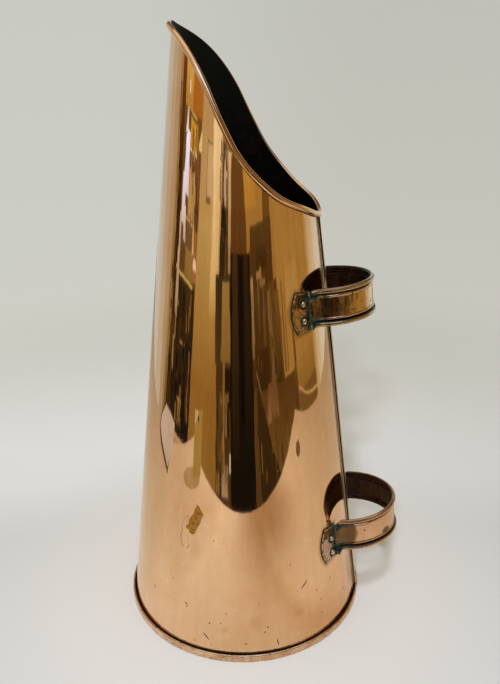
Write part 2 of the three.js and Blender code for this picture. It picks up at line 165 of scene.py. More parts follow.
# How fast tarnish grows in from the edge of its place
TARNISH_STEEPNESS = 2.6

# Edges sharper than this aren't smoothed
SHARP = math.radians(40)


# Meshes

def new_object(name, data):
    piece = bpy.data.objects.new(name, data)
    bpy.context.scene.collection.objects.link(piece)
    return piece


def grid_faces(rings, size, wrap_rings, wrap_points):
    """Quads between each ring of points and the next, as corner indices and as ring and point steps."""
    i = np.arange(rings if wrap_rings else rings - 1)
    j = np.arange(size if wrap_points else size - 1)
    i, j = np.meshgrid(i, j, indexing="ij")
    steps = np.stack([np.stack([i, j], -1), np.stack([i, j + 1], -1),
                      np.stack([i + 1, j + 1], -1), np.stack([i + 1, j], -1)], 2)
    steps = steps.reshape(-1, 4, 2)
    corners = (steps[..., 0] % rings) * size + steps[..., 1] % size
    return corners, steps


def fade(value, low, high):
    """0 up to low, 1 from high on, and even between them. Low may be the larger one."""
    return np.clip((value - low) / (high - low), 0, 1)


def arc(x, y, radius, first, last, count):
    """Points on a circle round x, y from one angle in degrees to another."""
    return [(x + radius * math.cos(a), y + radius * math.sin(a))
            for a in np.linspace(math.radians(first), math.radians(last), count)]


def lengths_along(points):
    """The length of a line of points up to each of them."""
    return np.concatenate([[0], np.cumsum(np.linalg.norm(np.diff(points, axis=0), axis=1))])


def loft(name, points, wrap_rings, sharp_angle, u, v, marks=None, cap_faces=(), wrap_points=True, poles=()):
    """A surface through rings of points, with sheet coordinates and point attributes.

    u and v hold the sheet coordinates at each ring and point, with one more where the surface wraps.
    The poles are single points after those of the rings, for cap faces to meet in."""
    rings, size = points.shape[:2]
    corners, steps = grid_faces(rings, size, wrap_rings, wrap_points)
    flat = points.reshape(-1, 3)
    a, b, c, d = (flat[corners[:, k]] for k in range(4))
    volume = (a * np.cross(b, c)).sum() + (a * np.cross(c, d)).sum()
    order = (0, 1, 2, 3) if volume > 0 else (3, 2, 1, 0)
    corners, steps = corners[:, order], steps[:, order]
    caps = [face if volume > 0 else face[::-1] for face in cap_faces]
    mesh = bpy.data.meshes.new(name)
    mesh.from_pydata(flat.tolist() + list(poles), [], corners.tolist() + caps)
    layer = mesh.uv_layers.new(name="sheet")
    pairs = np.zeros((len(mesh.loops), 2))
    ring, point = steps.reshape(-1, 2).T
    pairs[: len(ring)] = np.stack([u[ring, point], v[ring, point]], -1)
    layer.data.foreach_set("uv", pairs.ravel())
    for mark, values in (marks or {}).items():
        strengths = np.zeros(len(mesh.vertices), np.float32)
        strengths[: len(flat)] = np.broadcast_to(values, (rings, size)).ravel()
        mesh.attributes.new(mark, "FLOAT", "POINT").data.foreach_set("value", strengths)
    mesh.shade_smooth()
    mesh.set_sharp_from_angle(angle=sharp_angle)
    return new_object(name, mesh)


def turned_solid(name, profile, segments, sharp_angle, marks):
    """A closed turned solid from a profile of radius and height that starts and ends on the axis."""
    inner = np.array(profile[1:-1])
    size = len(inner)
    turns = np.arange(segments) * 2 * math.pi / segments
    points = around(inner[:, 0], turns[:, None], inner[:, 1])
    u = np.append(turns, 2 * math.pi)[:, None] * inner[:, 0].max() * np.ones(size)
    v = np.broadcast_to(lengths_along(inner), (segments + 1, size))
    first, last = segments * size, segments * size + 1
    fans = []
    for i in range(segments):
        here, there = i * size, ((i + 1) % segments) * size
        fans.append((first, there, here))
        fans.append((last, here + size - 1, there + size - 1))
    poles = [(0, 0, profile[0][1]), (0, 0, profile[-1][1])]
    return loft(name, points, True, sharp_angle, u, v, marks, fans, False, poles)


# The wall as a surface: places on it by turn from the seam and by height

WALL_SLOPE = (FOOT_RADIUS - TALL_LIP_RADIUS) / TALL_LIP_HEIGHT
WALL_LEAN = math.atan(WALL_SLOPE)


def wall_radius(height):
    return FOOT_RADIUS - WALL_SLOPE * height


def around(radius, turn, height):
    radius, turn, height = np.broadcast_arrays(radius, turn, height)
    return np.stack([radius * np.cos(turn), radius * np.sin(turn), height], -1)


def wall_normal(turn):
    return around(math.cos(WALL_LEAN), turn, math.sin(WALL_LEAN))


def wall_up(turn):
    return around(-math.sin(WALL_LEAN), turn, math.cos(WALL_LEAN))


def wall_point(turn, height, proud=0.0):
    return around(wall_radius(height), turn, height) + np.asarray(proud)[..., None] * wall_normal(turn)


def mouth_rise(share):
    """The S line of the mouth: a cubic through the shares, level at both ends."""
    t, y = np.array(MOUTH_TURN_SHARES), np.array(MOUTH_RISE_SHARES)
    i = np.clip(np.searchsorted(t, share, side="right"), 1, len(t) - 1)
    t0, t1, y0, y1 = t[i - 1], t[i], y[i - 1], y[i]
    before = np.where(i == 1, 2 * t0 - t1, t[np.maximum(i - 2, 0)])
    y_before = np.where(i == 1, y1, y[np.maximum(i - 2, 0)])
    after = np.where(i == len(t) - 1, 2 * t1 - t0, t[np.minimum(i + 1, len(t) - 1)])
    y_after = y[np.minimum(i + 1, len(t) - 1)]
    half = (t1 - t0) / 2
    w0, w1 = half / (t0 - before), half / (after - t1)
    p = (share - t0) / (t1 - t0)
    weight_before = -w0 * p**3 + 2 * w0 * p**2 - w0 * p
    weight_0 = (1 + w0) * p**3 + (-1.5 - 2 * w0) * p**2 + (-0.5 + w0) * p + 1
    weight_1 = (-1 - w1) * p**3 + (1.5 + w1) * p**2 + 0.5 * p
    weight_after = w1 * p**3 - w1 * p**2
    return weight_before * y_before + weight_0 * y0 + weight_1 * y1 + weight_after * y_after


def mouth_height(turn):
    share = np.abs((turn + math.pi) % (2 * math.pi) - math.pi) / math.pi
    return LOW_LIP_HEIGHT + (TALL_LIP_HEIGHT - LOW_LIP_HEIGHT) * mouth_rise(share)


# Body: foot turned out and up, wall, bead curled over the wire

CURL_INSIDE = MOUTH_WIRE_RADIUS + FIT_GAP
CURL_OUTSIDE = CURL_INSIDE + SHEET
FOLD_INSIDE = FOOT_RADIUS + FIT_GAP
FOLD_OUTSIDE = FOLD_INSIDE + SHEET
FLANGE_INSIDE = FOLD_OUTSIDE + FIT_GAP
FLANGE_OUTSIDE = FLANGE_INSIDE + SHEET
EDGE_INSIDE = FLANGE_OUTSIDE + FIT_GAP
EDGE_OUTSIDE = EDGE_INSIDE + SHEET - BOX_INSET / 2
RIM_ROUND = (EDGE_OUTSIDE - FOLD_INSIDE) / 2
RIM_SHOULDER = RIM_HEIGHT - RIM_ROUND
FLANGE_UNDERSIDE = SHEET + FIT_GAP
FLANGE_TOPSIDE = FLANGE_UNDERSIDE + SHEET

BODY_STATIONS = 480
CURL_STEPS = 28
# Rows of the wall, measured up from the rim of the base and down from the bead
FOOT_ROWS = (-0.004, -0.0015, 0, 0.001, 0.002, 0.0035, 0.006, 0.012)
BEAD_ROWS = (0.03, 0.012, 0.006, 0.004, 0.003, 0.0022, 0.0016, 0.001)
WALL_FILL_ROWS = 12


def curl_end(inside, outside, slit):
    return -math.acos(-(inside - slit) / outside)


def make_body():
    turns = (np.arange(BODY_STATIONS) + 0.5) * 2 * math.pi / BODY_STATIONS
    step = math.pi / BODY_STATIONS

    def bead_centre(turn):
        return wall_point(turn, mouth_height(turn) - BOX_INSET, CURL_INSIDE)

    centre = bead_centre(turns)
    out = wall_normal(turns)
    up = np.cross(out, bead_centre(turns + step) - bead_centre(turns - step))
    up /= np.linalg.norm(up, axis=1)[:, None]
    up *= np.sign(up[:, 2])[:, None]
    angles = np.linspace(math.pi, curl_end(CURL_INSIDE, CURL_OUTSIDE, CURL_SLIT), CURL_STEPS + 1)

    def circle(radius, some):
        return (centre[:, None] + radius * np.cos(some)[None, :, None] * out[:, None]
                + radius * np.sin(some)[None, :, None] * up[:, None])

    columns, marks = [], {"grime_and_shade": [], "inside": []}

    def add(points, grime_and_shade, inside):
        columns.append(points)
        for mark, values in (("grime_and_shade", grime_and_shade), ("inside", inside)):
            marks[mark].append(np.broadcast_to(values, points.shape[:2]))

    foot = ((wall_radius(FLANGE_TOPSIDE), FLANGE_TOPSIDE), (FLANGE_INSIDE, FLANGE_TOPSIDE),
            (FLANGE_INSIDE, RIM_SHOULDER), (FLANGE_OUTSIDE, RIM_SHOULDER),
            (FLANGE_OUTSIDE, FLANGE_UNDERSIDE), (wall_radius(FLANGE_UNDERSIDE) - SHEET, FLANGE_UNDERSIDE))
    add(np.stack([around(r, turns, z) for r, z in foot], 1), 1, 0)
    inner_top = circle(CURL_OUTSIDE, np.array([math.pi]))
    inner_foot = columns[0][:, -1:]
    shares = np.linspace(0, 1, WALL_FILL_ROWS)[None, 1:, None]
    add(inner_foot + (inner_top - inner_foot) * shares, 0, 1)
    curled = (math.pi - angles[1:]) / (math.pi - angles[-1])
    # The end of the bead that tucks under it is darkened with grime and painted shade; its inner side
    # counts as inside
    add(circle(CURL_OUTSIDE, angles[1:]), fade(curled, 0.8, 0.9), fade(curled, 0.2, 0.15))
    add(circle(CURL_INSIDE, angles[::-1]), 1, 0)
    bead_foot = mouth_height(turns) - BOX_INSET - CURL_OUTSIDE
    rows = [RIM_HEIGHT + row for row in FOOT_ROWS]
    tops = [bead_foot - row for row in BEAD_ROWS]
    fill_shares = np.linspace(0, 1, WALL_FILL_ROWS + 2)[1:-1]
    fills = [rows[-1] + (tops[0] - rows[-1]) * share for share in fill_shares]
    wall = [np.broadcast_to(row, turns.shape) for row in rows] + fills + tops
    wall = np.stack(wall[::-1], 1)
    # Dark below the bead and above the rim: grime and painted shade, reaching farther up on the side
    # towards the camera
    fall = np.maximum(bead_foot[:, None] - wall, 0)
    lift = np.maximum(wall - RIM_HEIGHT, 0)
    crevice = RIM_GRIME_AND_SHADE + RIM_GRIME_AND_SHADE_MORE * np.clip(np.cos(turns - RIM_GRIME_AND_SHADE_TURN), 0, 1) ** 5
    grime_and_shade = np.maximum(np.exp(-((fall / BEAD_GRIME_AND_SHADE) ** 2)), np.exp(-((lift / crevice[:, None]) ** 2)))
    add(wall_point(turns[:, None], wall), grime_and_shade, 0)

    points = np.concatenate(columns, 1)
    u = np.append(turns, turns[0] + 2 * math.pi)[:, None] * FOOT_RADIUS * np.ones(points.shape[1] + 1)
    v = np.concatenate([points[..., 2], points[:, :1, 2]], 1)
    v = np.concatenate([v, v[:1]], 0)
    return loft("body_copper", points, True, SHARP, u, v,
                {name: np.concatenate(values, 1) for name, values in marks.items()})


def make_seam():
    """The lock seam that stands on the wall: the folded edge, its crown and the edge that it hooks."""
    half, edge = SEAM_WIDTH / 2, SHEET / 2
    top = 3 * (SHEET + SEAM_GAP)
    shoulder = top - SEAM_CROWN
    side = np.linspace(SEAM_GAP + edge, shoulder, 6)[1:-1]
    outline = [(-half + SEAM_FOOT_INSET, -edge), (half - SEAM_HOOK_INSET, -edge),
               (half - SEAM_HOOK_INSET, SEAM_GAP), *arc(half - edge, SEAM_GAP + edge, edge, -90, 0, 6),
               *[(half, z) for z in side], *arc(half - SEAM_CROWN, shoulder, SEAM_CROWN, 0, 90, 7),
               *arc(-half + SEAM_CROWN, shoulder, SEAM_CROWN, 90, 180, 7),
               *[(-half, z) for z in side[::-1]]]
    across, out = np.array(outline).T
    foot, head = RIM_HEIGHT + SEAM_STOP_GAP, LOW_LIP_HEIGHT - CURL_OUTSIDE - SEAM_STOP_GAP
    heights = np.linspace(foot, head, SEAM_ROWS)
    square = np.array([0, -1.0, 0])
    points = (wall_point(0.0, heights)[:, None] + across[None, :, None] * square
              + out[None, :, None] * wall_normal(0.0))
    size = len(outline)
    u = np.broadcast_to(np.append(across, across[0]), (SEAM_ROWS, size + 1))
    v = np.broadcast_to(heights[:, None], (SEAM_ROWS, size + 1))
    # The seam's sides are darkened with grime and painted shade. A painted highlight runs along a line near
    # the upper handle and along the foot; the crown stays undarkened
    highlight_line = fade(np.abs(out - SEAM_HIGHLIGHT_OUT), *SEAM_HIGHLIGHT_EDGE)
    stretch = fade(np.abs(heights - SEAM_HIGHLIGHT_HEIGHT), *SEAM_HIGHLIGHT_END)[:, None]
    worn = np.maximum(highlight_line * stretch, fade(out, *SEAM_FOOT_EDGE))
    polished = fade(top - out, *SEAM_CROWN_EDGE)
    marks = {"grime_and_shade": 1 - np.maximum(worn, polished), "inside": 0, "seam_highlight": worn * SEAM_HIGHLIGHT_TINT}
    caps = [list(range(size))[::-1], list(range((SEAM_ROWS - 1) * size, SEAM_ROWS * size))]
    return loft("seam_copper", points, False, SHARP, u, v, marks, caps)


def half_round(inside, outside, steps):
    return arc((inside + outside) / 2, RIM_SHOULDER, (outside - inside) / 2, 0, 180, steps)


def make_base():
    corner = arc(EDGE_OUTSIDE - BASE_CHAMFER, BASE_CHAMFER, BASE_CHAMFER, -90, 0, 5)
    side = [(EDGE_OUTSIDE, z) for z in np.linspace(BASE_CHAMFER, RIM_SHOULDER, 5)[1:-1]]
    over_flange = FLANGE_TOPSIDE + FIT_GAP
    profile = [(0, 0), *[(r, 0) for r in BASE_RINGS_BELOW], *corner, *side,
               *half_round(FOLD_INSIDE, EDGE_OUTSIDE, 13),
               (FOLD_INSIDE, over_flange), (FOLD_OUTSIDE, over_flange),
               *half_round(FOLD_OUTSIDE, EDGE_INSIDE, 5)[::-1], (EDGE_INSIDE, SHEET),
               *[(r, SHEET) for r in BASE_RINGS_ABOVE], (0, SHEET)]
    radii, heights = np.array(profile[1:-1]).T
    # Behind the fold, where the rim meets the wall, it is dark: grime and painted shade
    behind_fold = radii < (FOLD_INSIDE + EDGE_OUTSIDE) / 2 - BASE_GRIME_AND_SHADE_INSET
    marks = {"grime_and_shade": behind_fold & (heights > BASE_GRIME_AND_SHADE_FOOT),
             "inside": (radii < FOLD_INSIDE) & (heights > SHEET / 2)}
    return turned_solid("base_copper", profile, BASE_SEGMENTS, math.radians(35), marks)


# Strap handles: section from a line of lengths and headings, swept along the route of each strap

STRAP_CURL_INSIDE = STRAP_WIRE_RADIUS + FIT_GAP
STRAP_CURL_OUTSIDE = STRAP_CURL_INSIDE + STRAP_SHEET
STRAP_CURL_MIDDLE = STRAP_CURL_INSIDE + STRAP_SHEET / 2
CURL_START = STRAP_HEIGHT / 2 - STRAP_CURL_OUTSIDE
CURL_TURN = math.pi - curl_end(STRAP_CURL_INSIDE, STRAP_CURL_OUTSIDE, STRAP_CURL_SLIT)
REED_DROP = REED_SLOPE + BEAD_SETBACK / math.sin(REED_ANGLE)
REED_WIDTH = (REED_SLOPE + REED_DROP) * math.cos(REED_ANGLE) + REED_CREST
LINE_STEP = 0.00036


def strap_headings():
    """Distances along half of the sheet's middle line and the heading at each, with its corners rounded."""
    runs = [(PANEL_HEIGHT / 2, 0, 0), (REED_SLOPE, REED_ANGLE, REED_ANGLE), (REED_CREST, 0, 0),
            (REED_DROP, -REED_ANGLE, -REED_ANGLE), (CURL_START - PANEL_HEIGHT / 2 - REED_WIDTH, 0, 0),
            (STRAP_CURL_MIDDLE * CURL_TURN, 0, CURL_TURN)]
    ends = np.cumsum([length for length, _, _ in runs])

    def heading(place):
        """The heading at a place, which is below zero on the other half."""
        start = 0.0
        for (length, first, last), end in zip(runs, ends):
            if abs(place) <= end:
                return math.copysign(1, place) * (first + (last - first) * (abs(place) - start) / length)
            start = end
        return runs[-1][2]

    count = int(round(ends[-1] / LINE_STEP))
    places = np.linspace(0, ends[-1], count + 1)
    window = np.linspace(-CORNER_LENGTH / 2, CORNER_LENGTH / 2, 9)
    return places, np.array([np.mean([heading(s + w) for w in window]) for s in places])


STRAP_PLACES, STRAP_HEADINGS = strap_headings()


def middle_line(form):
    """Points and headings of the half line at a form between 0, flat, and 1, reeded and curled."""
    headings = STRAP_HEADINGS * form
    steps = np.diff(STRAP_PLACES)
    middle = (headings[1:] + headings[:-1]) / 2
    across = np.concatenate([[0], np.cumsum(steps * np.cos(middle))])
    out = np.concatenate([[0], np.cumsum(steps * np.sin(middle))])
    return np.stack([across, out], -1), headings


FULL_EXTENT = middle_line(1)[0][:, 0].max()


def strap_section(form, flat_half):
    """The ring of a station: across and out, up along the outer face and back along the inner one."""
    line, headings = middle_line(form)
    half = flat_half + (FULL_EXTENT - flat_half) * form
    line = line * half / line[:, 0].max()
    side = np.stack([-np.sin(headings), np.cos(headings)], -1) * STRAP_SHEET / 2
    outer, inner = line + side, line - side
    mirror = np.array([-1, 1])
    outer = np.concatenate([(outer * mirror)[:0:-1], outer])
    inner = np.concatenate([(inner * mirror)[:0:-1], inner])
    return np.concatenate([outer, inner[::-1]])


def circle_crossing(axis_distance, centre, distance):
    span = math.hypot(*centre)
    along = (axis_distance**2 - distance**2 + span**2) / (2 * span)
    aside = math.sqrt(axis_distance**2 - along**2)
    dx, dy = centre[0] / span, centre[1] / span
    return dx * along - dy * aside, dy * along + dx * aside


def strap_route(handle):
    centre = wall_radius(handle["height"])
    tab_middle = handle["height"] - handle["tab_drop"]
    tab_radius = wall_radius(tab_middle) + FIT_GAP + STRAP_SHEET / 2
    neck = (centre, handle["half_span"] - NECK_RADIUS)
    bend = circle_crossing(tab_radius + BEND_RADIUS, neck, NECK_RADIUS + BEND_RADIUS)
    leave_turn = math.atan2(bend[1], bend[0])
    neck_turn = math.atan2(bend[1] - neck[1], bend[0] - neck[0])
    return dict(handle=handle, centre=centre, tab_middle=tab_middle, tab_radius=tab_radius, neck=neck,
                bend=bend, leave_turn=leave_turn, neck_turn=neck_turn)


TAB_STATIONS = 26
TAB_BEVEL = 0.0007
# Stations near the tip of a tab, as shares of the bevel
TIP_SHARES = (0, 0.12, 0.3, 0.6, 1)
BEND_STATIONS = 22
NECK_STATIONS = 16
LOOP_STATIONS = 60


def loop_ring(route, x, y, heading, form):
    handle = route["handle"]
    plane = handle["height"] + math.tan(HANDLE_TILT) * (x - route["centre"])
    point = np.array([x, y, route["tab_middle"] + (plane - route["tab_middle"]) * form])
    loop_up = np.array([-math.sin(HANDLE_TILT), 0, math.cos(HANDLE_TILT)])
    up = wall_up(math.atan2(y, x)) * (1 - form) + loop_up * form
    up /= np.linalg.norm(up)
    out = np.cross(up, [math.cos(heading), math.sin(heading), 0])
    out /= np.linalg.norm(out)
    section = strap_section(form, STRAP_HEIGHT / 2)
    return point + section[:, :1] * up + section[:, 1:] * out


def bevel_drop(distance):
    """How far a rounded edge lies below the face, at a distance in from the edge."""
    inward = np.clip(1 - distance / TAB_BEVEL, 0, 1)
    return TAB_BEVEL * (1 - np.sqrt(1 - inward**2))


def tab_ring(route, share):
    radius = route["tab_radius"]
    half = (STRAP_HEIGHT + (TAB_HEIGHT - STRAP_HEIGHT) * share) / 2
    section = strap_section(0, half)
    length = route["handle"]["tab_length"] - TAB_BULGE * (section[:, 0] / (TAB_HEIGHT / 2)) ** 2
    turn = route["leave_turn"] + length / radius * share
    from_edge = np.minimum(length * (1 - share), half - np.abs(section[:, 0]))
    outer = section[:, 1] > 0
    section[outer, 1] -= bevel_drop(from_edge[outer]) * fade(share, 0, 0.3)
    return (around(radius, turn, route["tab_middle"]) + section[:, :1] * wall_up(turn)
            + section[:, 1:] * wall_normal(turn))


def tab_shares(handle):
    """Where the rings of a tab lie, from its tip, at 1, to where it leaves the wall, at 0."""
    bevel = TAB_BEVEL / handle["tab_length"]
    return [1 - bevel * share for share in TIP_SHARES] + list(np.linspace(1 - bevel, 0, TAB_STATIONS)[1:])


def ease(share):
    return share * share * (3 - 2 * share)


def strap_rings(handle):
    """Rings from the tip of the right tab to the loop's farthest point, and the length of route to each."""
    route = strap_route(handle)
    rings = [tab_ring(route, share) for share in tab_shares(handle)]
    leave_turn, neck_turn = route["leave_turn"], route["neck_turn"]
    arcs = ((route["bend"], BEND_RADIUS, leave_turn + math.pi, neck_turn + math.pi, BEND_STATIONS, 1),
            (route["neck"], NECK_RADIUS, neck_turn, math.pi / 2, NECK_STATIONS, -1))
    total = BEND_STATIONS + NECK_STATIONS
    done = 0
    for (x, y), radius, first, last, stations, side in arcs:
        for i in range(1, stations + 1):
            done += 1
            angle = first + (last - first) * i / stations
            rings.append(loop_ring(route, x + radius * math.cos(angle), y + radius * math.sin(angle),
                                   angle + side * math.pi / 2, ease(done / total)))
    for i in range(1, LOOP_STATIONS + 1):
        angle = math.pi / 2 * (1 - i / LOOP_STATIONS)
        x = route["centre"] + handle["reach"] * math.cos(angle)
        y = handle["half_span"] * math.sin(angle)
        heading = math.atan2(-handle["half_span"] * math.cos(angle), handle["reach"] * math.sin(angle))
        rings.append(loop_ring(route, x, y, heading, 1))
    rings = np.array(rings)
    return rings, lengths_along(rings[:, len(STRAP_PLACES) - 1])


def tarnish_of(name, ahead, across):
    """How tarnished a strap is outside, at distances from its farthest point and at heights on it."""
    total = 0.0
    for place, height, half_length, half_height, strength in TARNISH[name]:
        away = np.hypot((ahead - place) / half_length, (across - height) / half_height)
        total = np.maximum(total, strength * np.clip((1 - away) * TARNISH_STEEPNESS, 0, 1))
    return total


def section_marks(past_tab, across, outer):
    """The marks that follow the section of a strap: its grooves, its curls and its inner side."""
    distance = np.abs(across)

    def band(first, last, soft=MARK_SOFT):
        """1 between two places on the half line, with soft edges."""
        rim = soft / 2
        return fade(distance, first - rim, first + rim) * fade(distance, last + rim, last - rim)

    reed_foot = PANEL_HEIGHT / 2
    reed_end = reed_foot + REED_SLOPE + REED_CREST
    curl_place = STRAP_PLACES[-1] - STRAP_CURL_MIDDLE * CURL_TURN
    crest_place, front_low = (curl_place + STRAP_CURL_MIDDLE * math.radians(a) for a in (75, 215))
    groove = outer * np.maximum(band(reed_end + 0.0010, 1), band(reed_foot - 0.0003, reed_foot + 0.0005))
    roll = fade(distance, curl_place, curl_place + STRAP_CURL_MIDDLE * 2 * math.pi)
    formed = fade(past_tab, *FORMED_EDGE)
    return {
        "groove": np.maximum(groove, (1 - outer) * band(front_low, 1, CURL_MARK_SOFT)) * formed,
        "valley": outer * band(reed_foot - 0.0005, 1) * formed,
        "roll": (1 - outer) * roll * formed,
        "inner": (1 - outer) * band(-1, crest_place, INNER_MARK_SOFT),
        "near_tab": fade(past_tab, *NEAR_TAB_EDGE),
        "on_tab": fade(past_tab, *ON_TAB_EDGE),
        "high": fade(across, -STRAP_HEIGHT / 2, STRAP_HEIGHT / 2),
    }


def tab_marks(handle, past_tab, across, outer):
    """The marks that follow the tabs of a strap: their cut edges, and the dirt round their rivets."""
    shares = tab_shares(handle)
    tab_rows = np.zeros((len(past_tab), 1))
    tab_rows[: len(shares), 0] = shares
    tab_rows[-len(shares):, 0] = shares[::-1]
    half_height = (STRAP_HEIGHT + (TAB_HEIGHT - STRAP_HEIGHT) * tab_rows) / 2
    reach = across / STRAP_PLACES[-1] * half_height
    length = handle["tab_length"] - TAB_BULGE * (reach / (TAB_HEIGHT / 2)) ** 2
    along = length * tab_rows
    from_edge = np.minimum(length * (1 - tab_rows), half_height - np.abs(reach))
    rivet_middle = (handle["rivet_drop"] - handle["tab_drop"]) / math.cos(WALL_LEAN)
    to_rivet = 1.0
    for lift in (-RIVET_SPACING / 2, RIVET_SPACING / 2):
        rise = reach - (lift / math.cos(WALL_LEAN) - rivet_middle)
        to_rivet = np.minimum(to_rivet, np.hypot(along - RIVET_INSET, rise))
    dirt = np.maximum(fade(to_rivet - RIVET_HEAD_RADIUS, *RIVET_DIRT_EDGE), fade(along, *ROOT_DIRT_EDGE))
    on_tab = tab_rows > 0
    return {
        "edge": on_tab * outer * fade(np.abs(from_edge - TAB_LINE), *TAB_LINE_EDGE),
        "bevel": on_tab * outer * fade(from_edge, *TAB_BEVEL_EDGE),
        "ring": np.where(on_tab, dirt, outer * fade(past_tab, *BESIDE_TAB_EDGE) * BESIDE_TAB),
    }


def make_strap(name, handle):
    rings, lengths = strap_rings(handle)
    points = np.concatenate([rings, rings[-2::-1] * np.array([1, -1, 1])])
    run = np.concatenate([lengths, 2 * lengths[-1] - lengths[-2::-1]])
    past_tab = (np.minimum(run, run[-1] - run) - handle["tab_length"])[:, None]
    rows, size = points.shape[:2]
    half = size // 2
    signed = np.concatenate([-STRAP_PLACES[:0:-1], STRAP_PLACES])
    across = np.concatenate([signed, signed[::-1]])
    outer = np.where(np.arange(size) < half, 1.0, 0.0)
    marks = {
        **section_marks(past_tab, across, outer),
        **tab_marks(handle, past_tab, across, outer),
        "tarnish": outer * tarnish_of(name, (run - lengths[-1])[:, None], across),
    }
    caps = []
    for end, order in ((0, 1), (rows - 1, -1)):
        for j in range(half - 1):
            face = [end * size + k for k in (j, size - 1 - j, size - 2 - j, j + 1)]
            caps.append(face[::order])
    u = np.broadcast_to(run[:, None], (rows, size + 1))
    v = np.broadcast_to(np.append(across, across[0]), (rows, size + 1))
    return loft(name + "_copper", points, False, SHARP, u, v, marks, caps)


def make_rivet(name, turn, height):
    strap_outside = FIT_GAP + STRAP_SHEET
    tail_top = -SHEET - FIT_GAP
    head_foot = strap_outside + 0.0001
    dome = [(RIVET_HEAD_RADIUS * math.cos(a), head_foot + RIVET_HEAD_HEIGHT * math.sin(a))
            for a in np.linspace(0, math.pi / 2, 11)[:-1]]
    profile = [(0, tail_top - RIVET_TAIL_HEIGHT), (RIVET_TAIL_RADIUS * 0.8, tail_top - RIVET_TAIL_HEIGHT),
               (RIVET_TAIL_RADIUS, tail_top - RIVET_TAIL_HEIGHT * 0.6), (RIVET_TAIL_RADIUS, tail_top),
               (RIVET_SHANK_RADIUS, tail_top), (RIVET_SHANK_RADIUS, head_foot), *dome,
               (0, head_foot + RIVET_HEAD_HEIGHT)]
    out = np.array(profile[1:-1])[:, 1]
    marks = {"tail": out < 0, "foot": (out > 0) & (out < head_foot + 0.0003)}
    rivet = turned_solid(name, profile, RIVET_SEGMENTS, SHARP, marks)
    turning = Vector((0, 0, 1)).rotation_difference(Vector(wall_normal(turn)))
    place = Matrix.Translation(Vector(wall_point(turn, height))) @ turning.to_matrix().to_4x4()
    rivet.data.transform(place)
    return rivet


# Finishes

def srgb(red, green, blue):
    """A colour of the screen, 0 to 255, as the light that a shader takes."""
    channels = [c / 255 for c in (red, green, blue)]
    return tuple(c / 12.92 if c <= 0.04045 else ((c + 0.055) / 1.055) ** 2.4 for c in channels) + (1.0,)


class Value:
    """A number that a node gives. Each sum written with it adds a math node."""

    def __init__(self, nodes, socket):
        self.nodes, self.socket = nodes, socket

    def __add__(self, other):
        return self.nodes.math("ADD", self, other)

    def __sub__(self, other):
        return self.nodes.math("SUBTRACT", self, other)

    def __rsub__(self, other):
        return self.nodes.math("SUBTRACT", other, self)

    def __mul__(self, other):
        return self.nodes.math("MULTIPLY", self, other)

    def __truediv__(self, other):
        return self.nodes.math("DIVIDE", self, other)

    def __abs__(self):
        return self.nodes.math("ABSOLUTE", self)


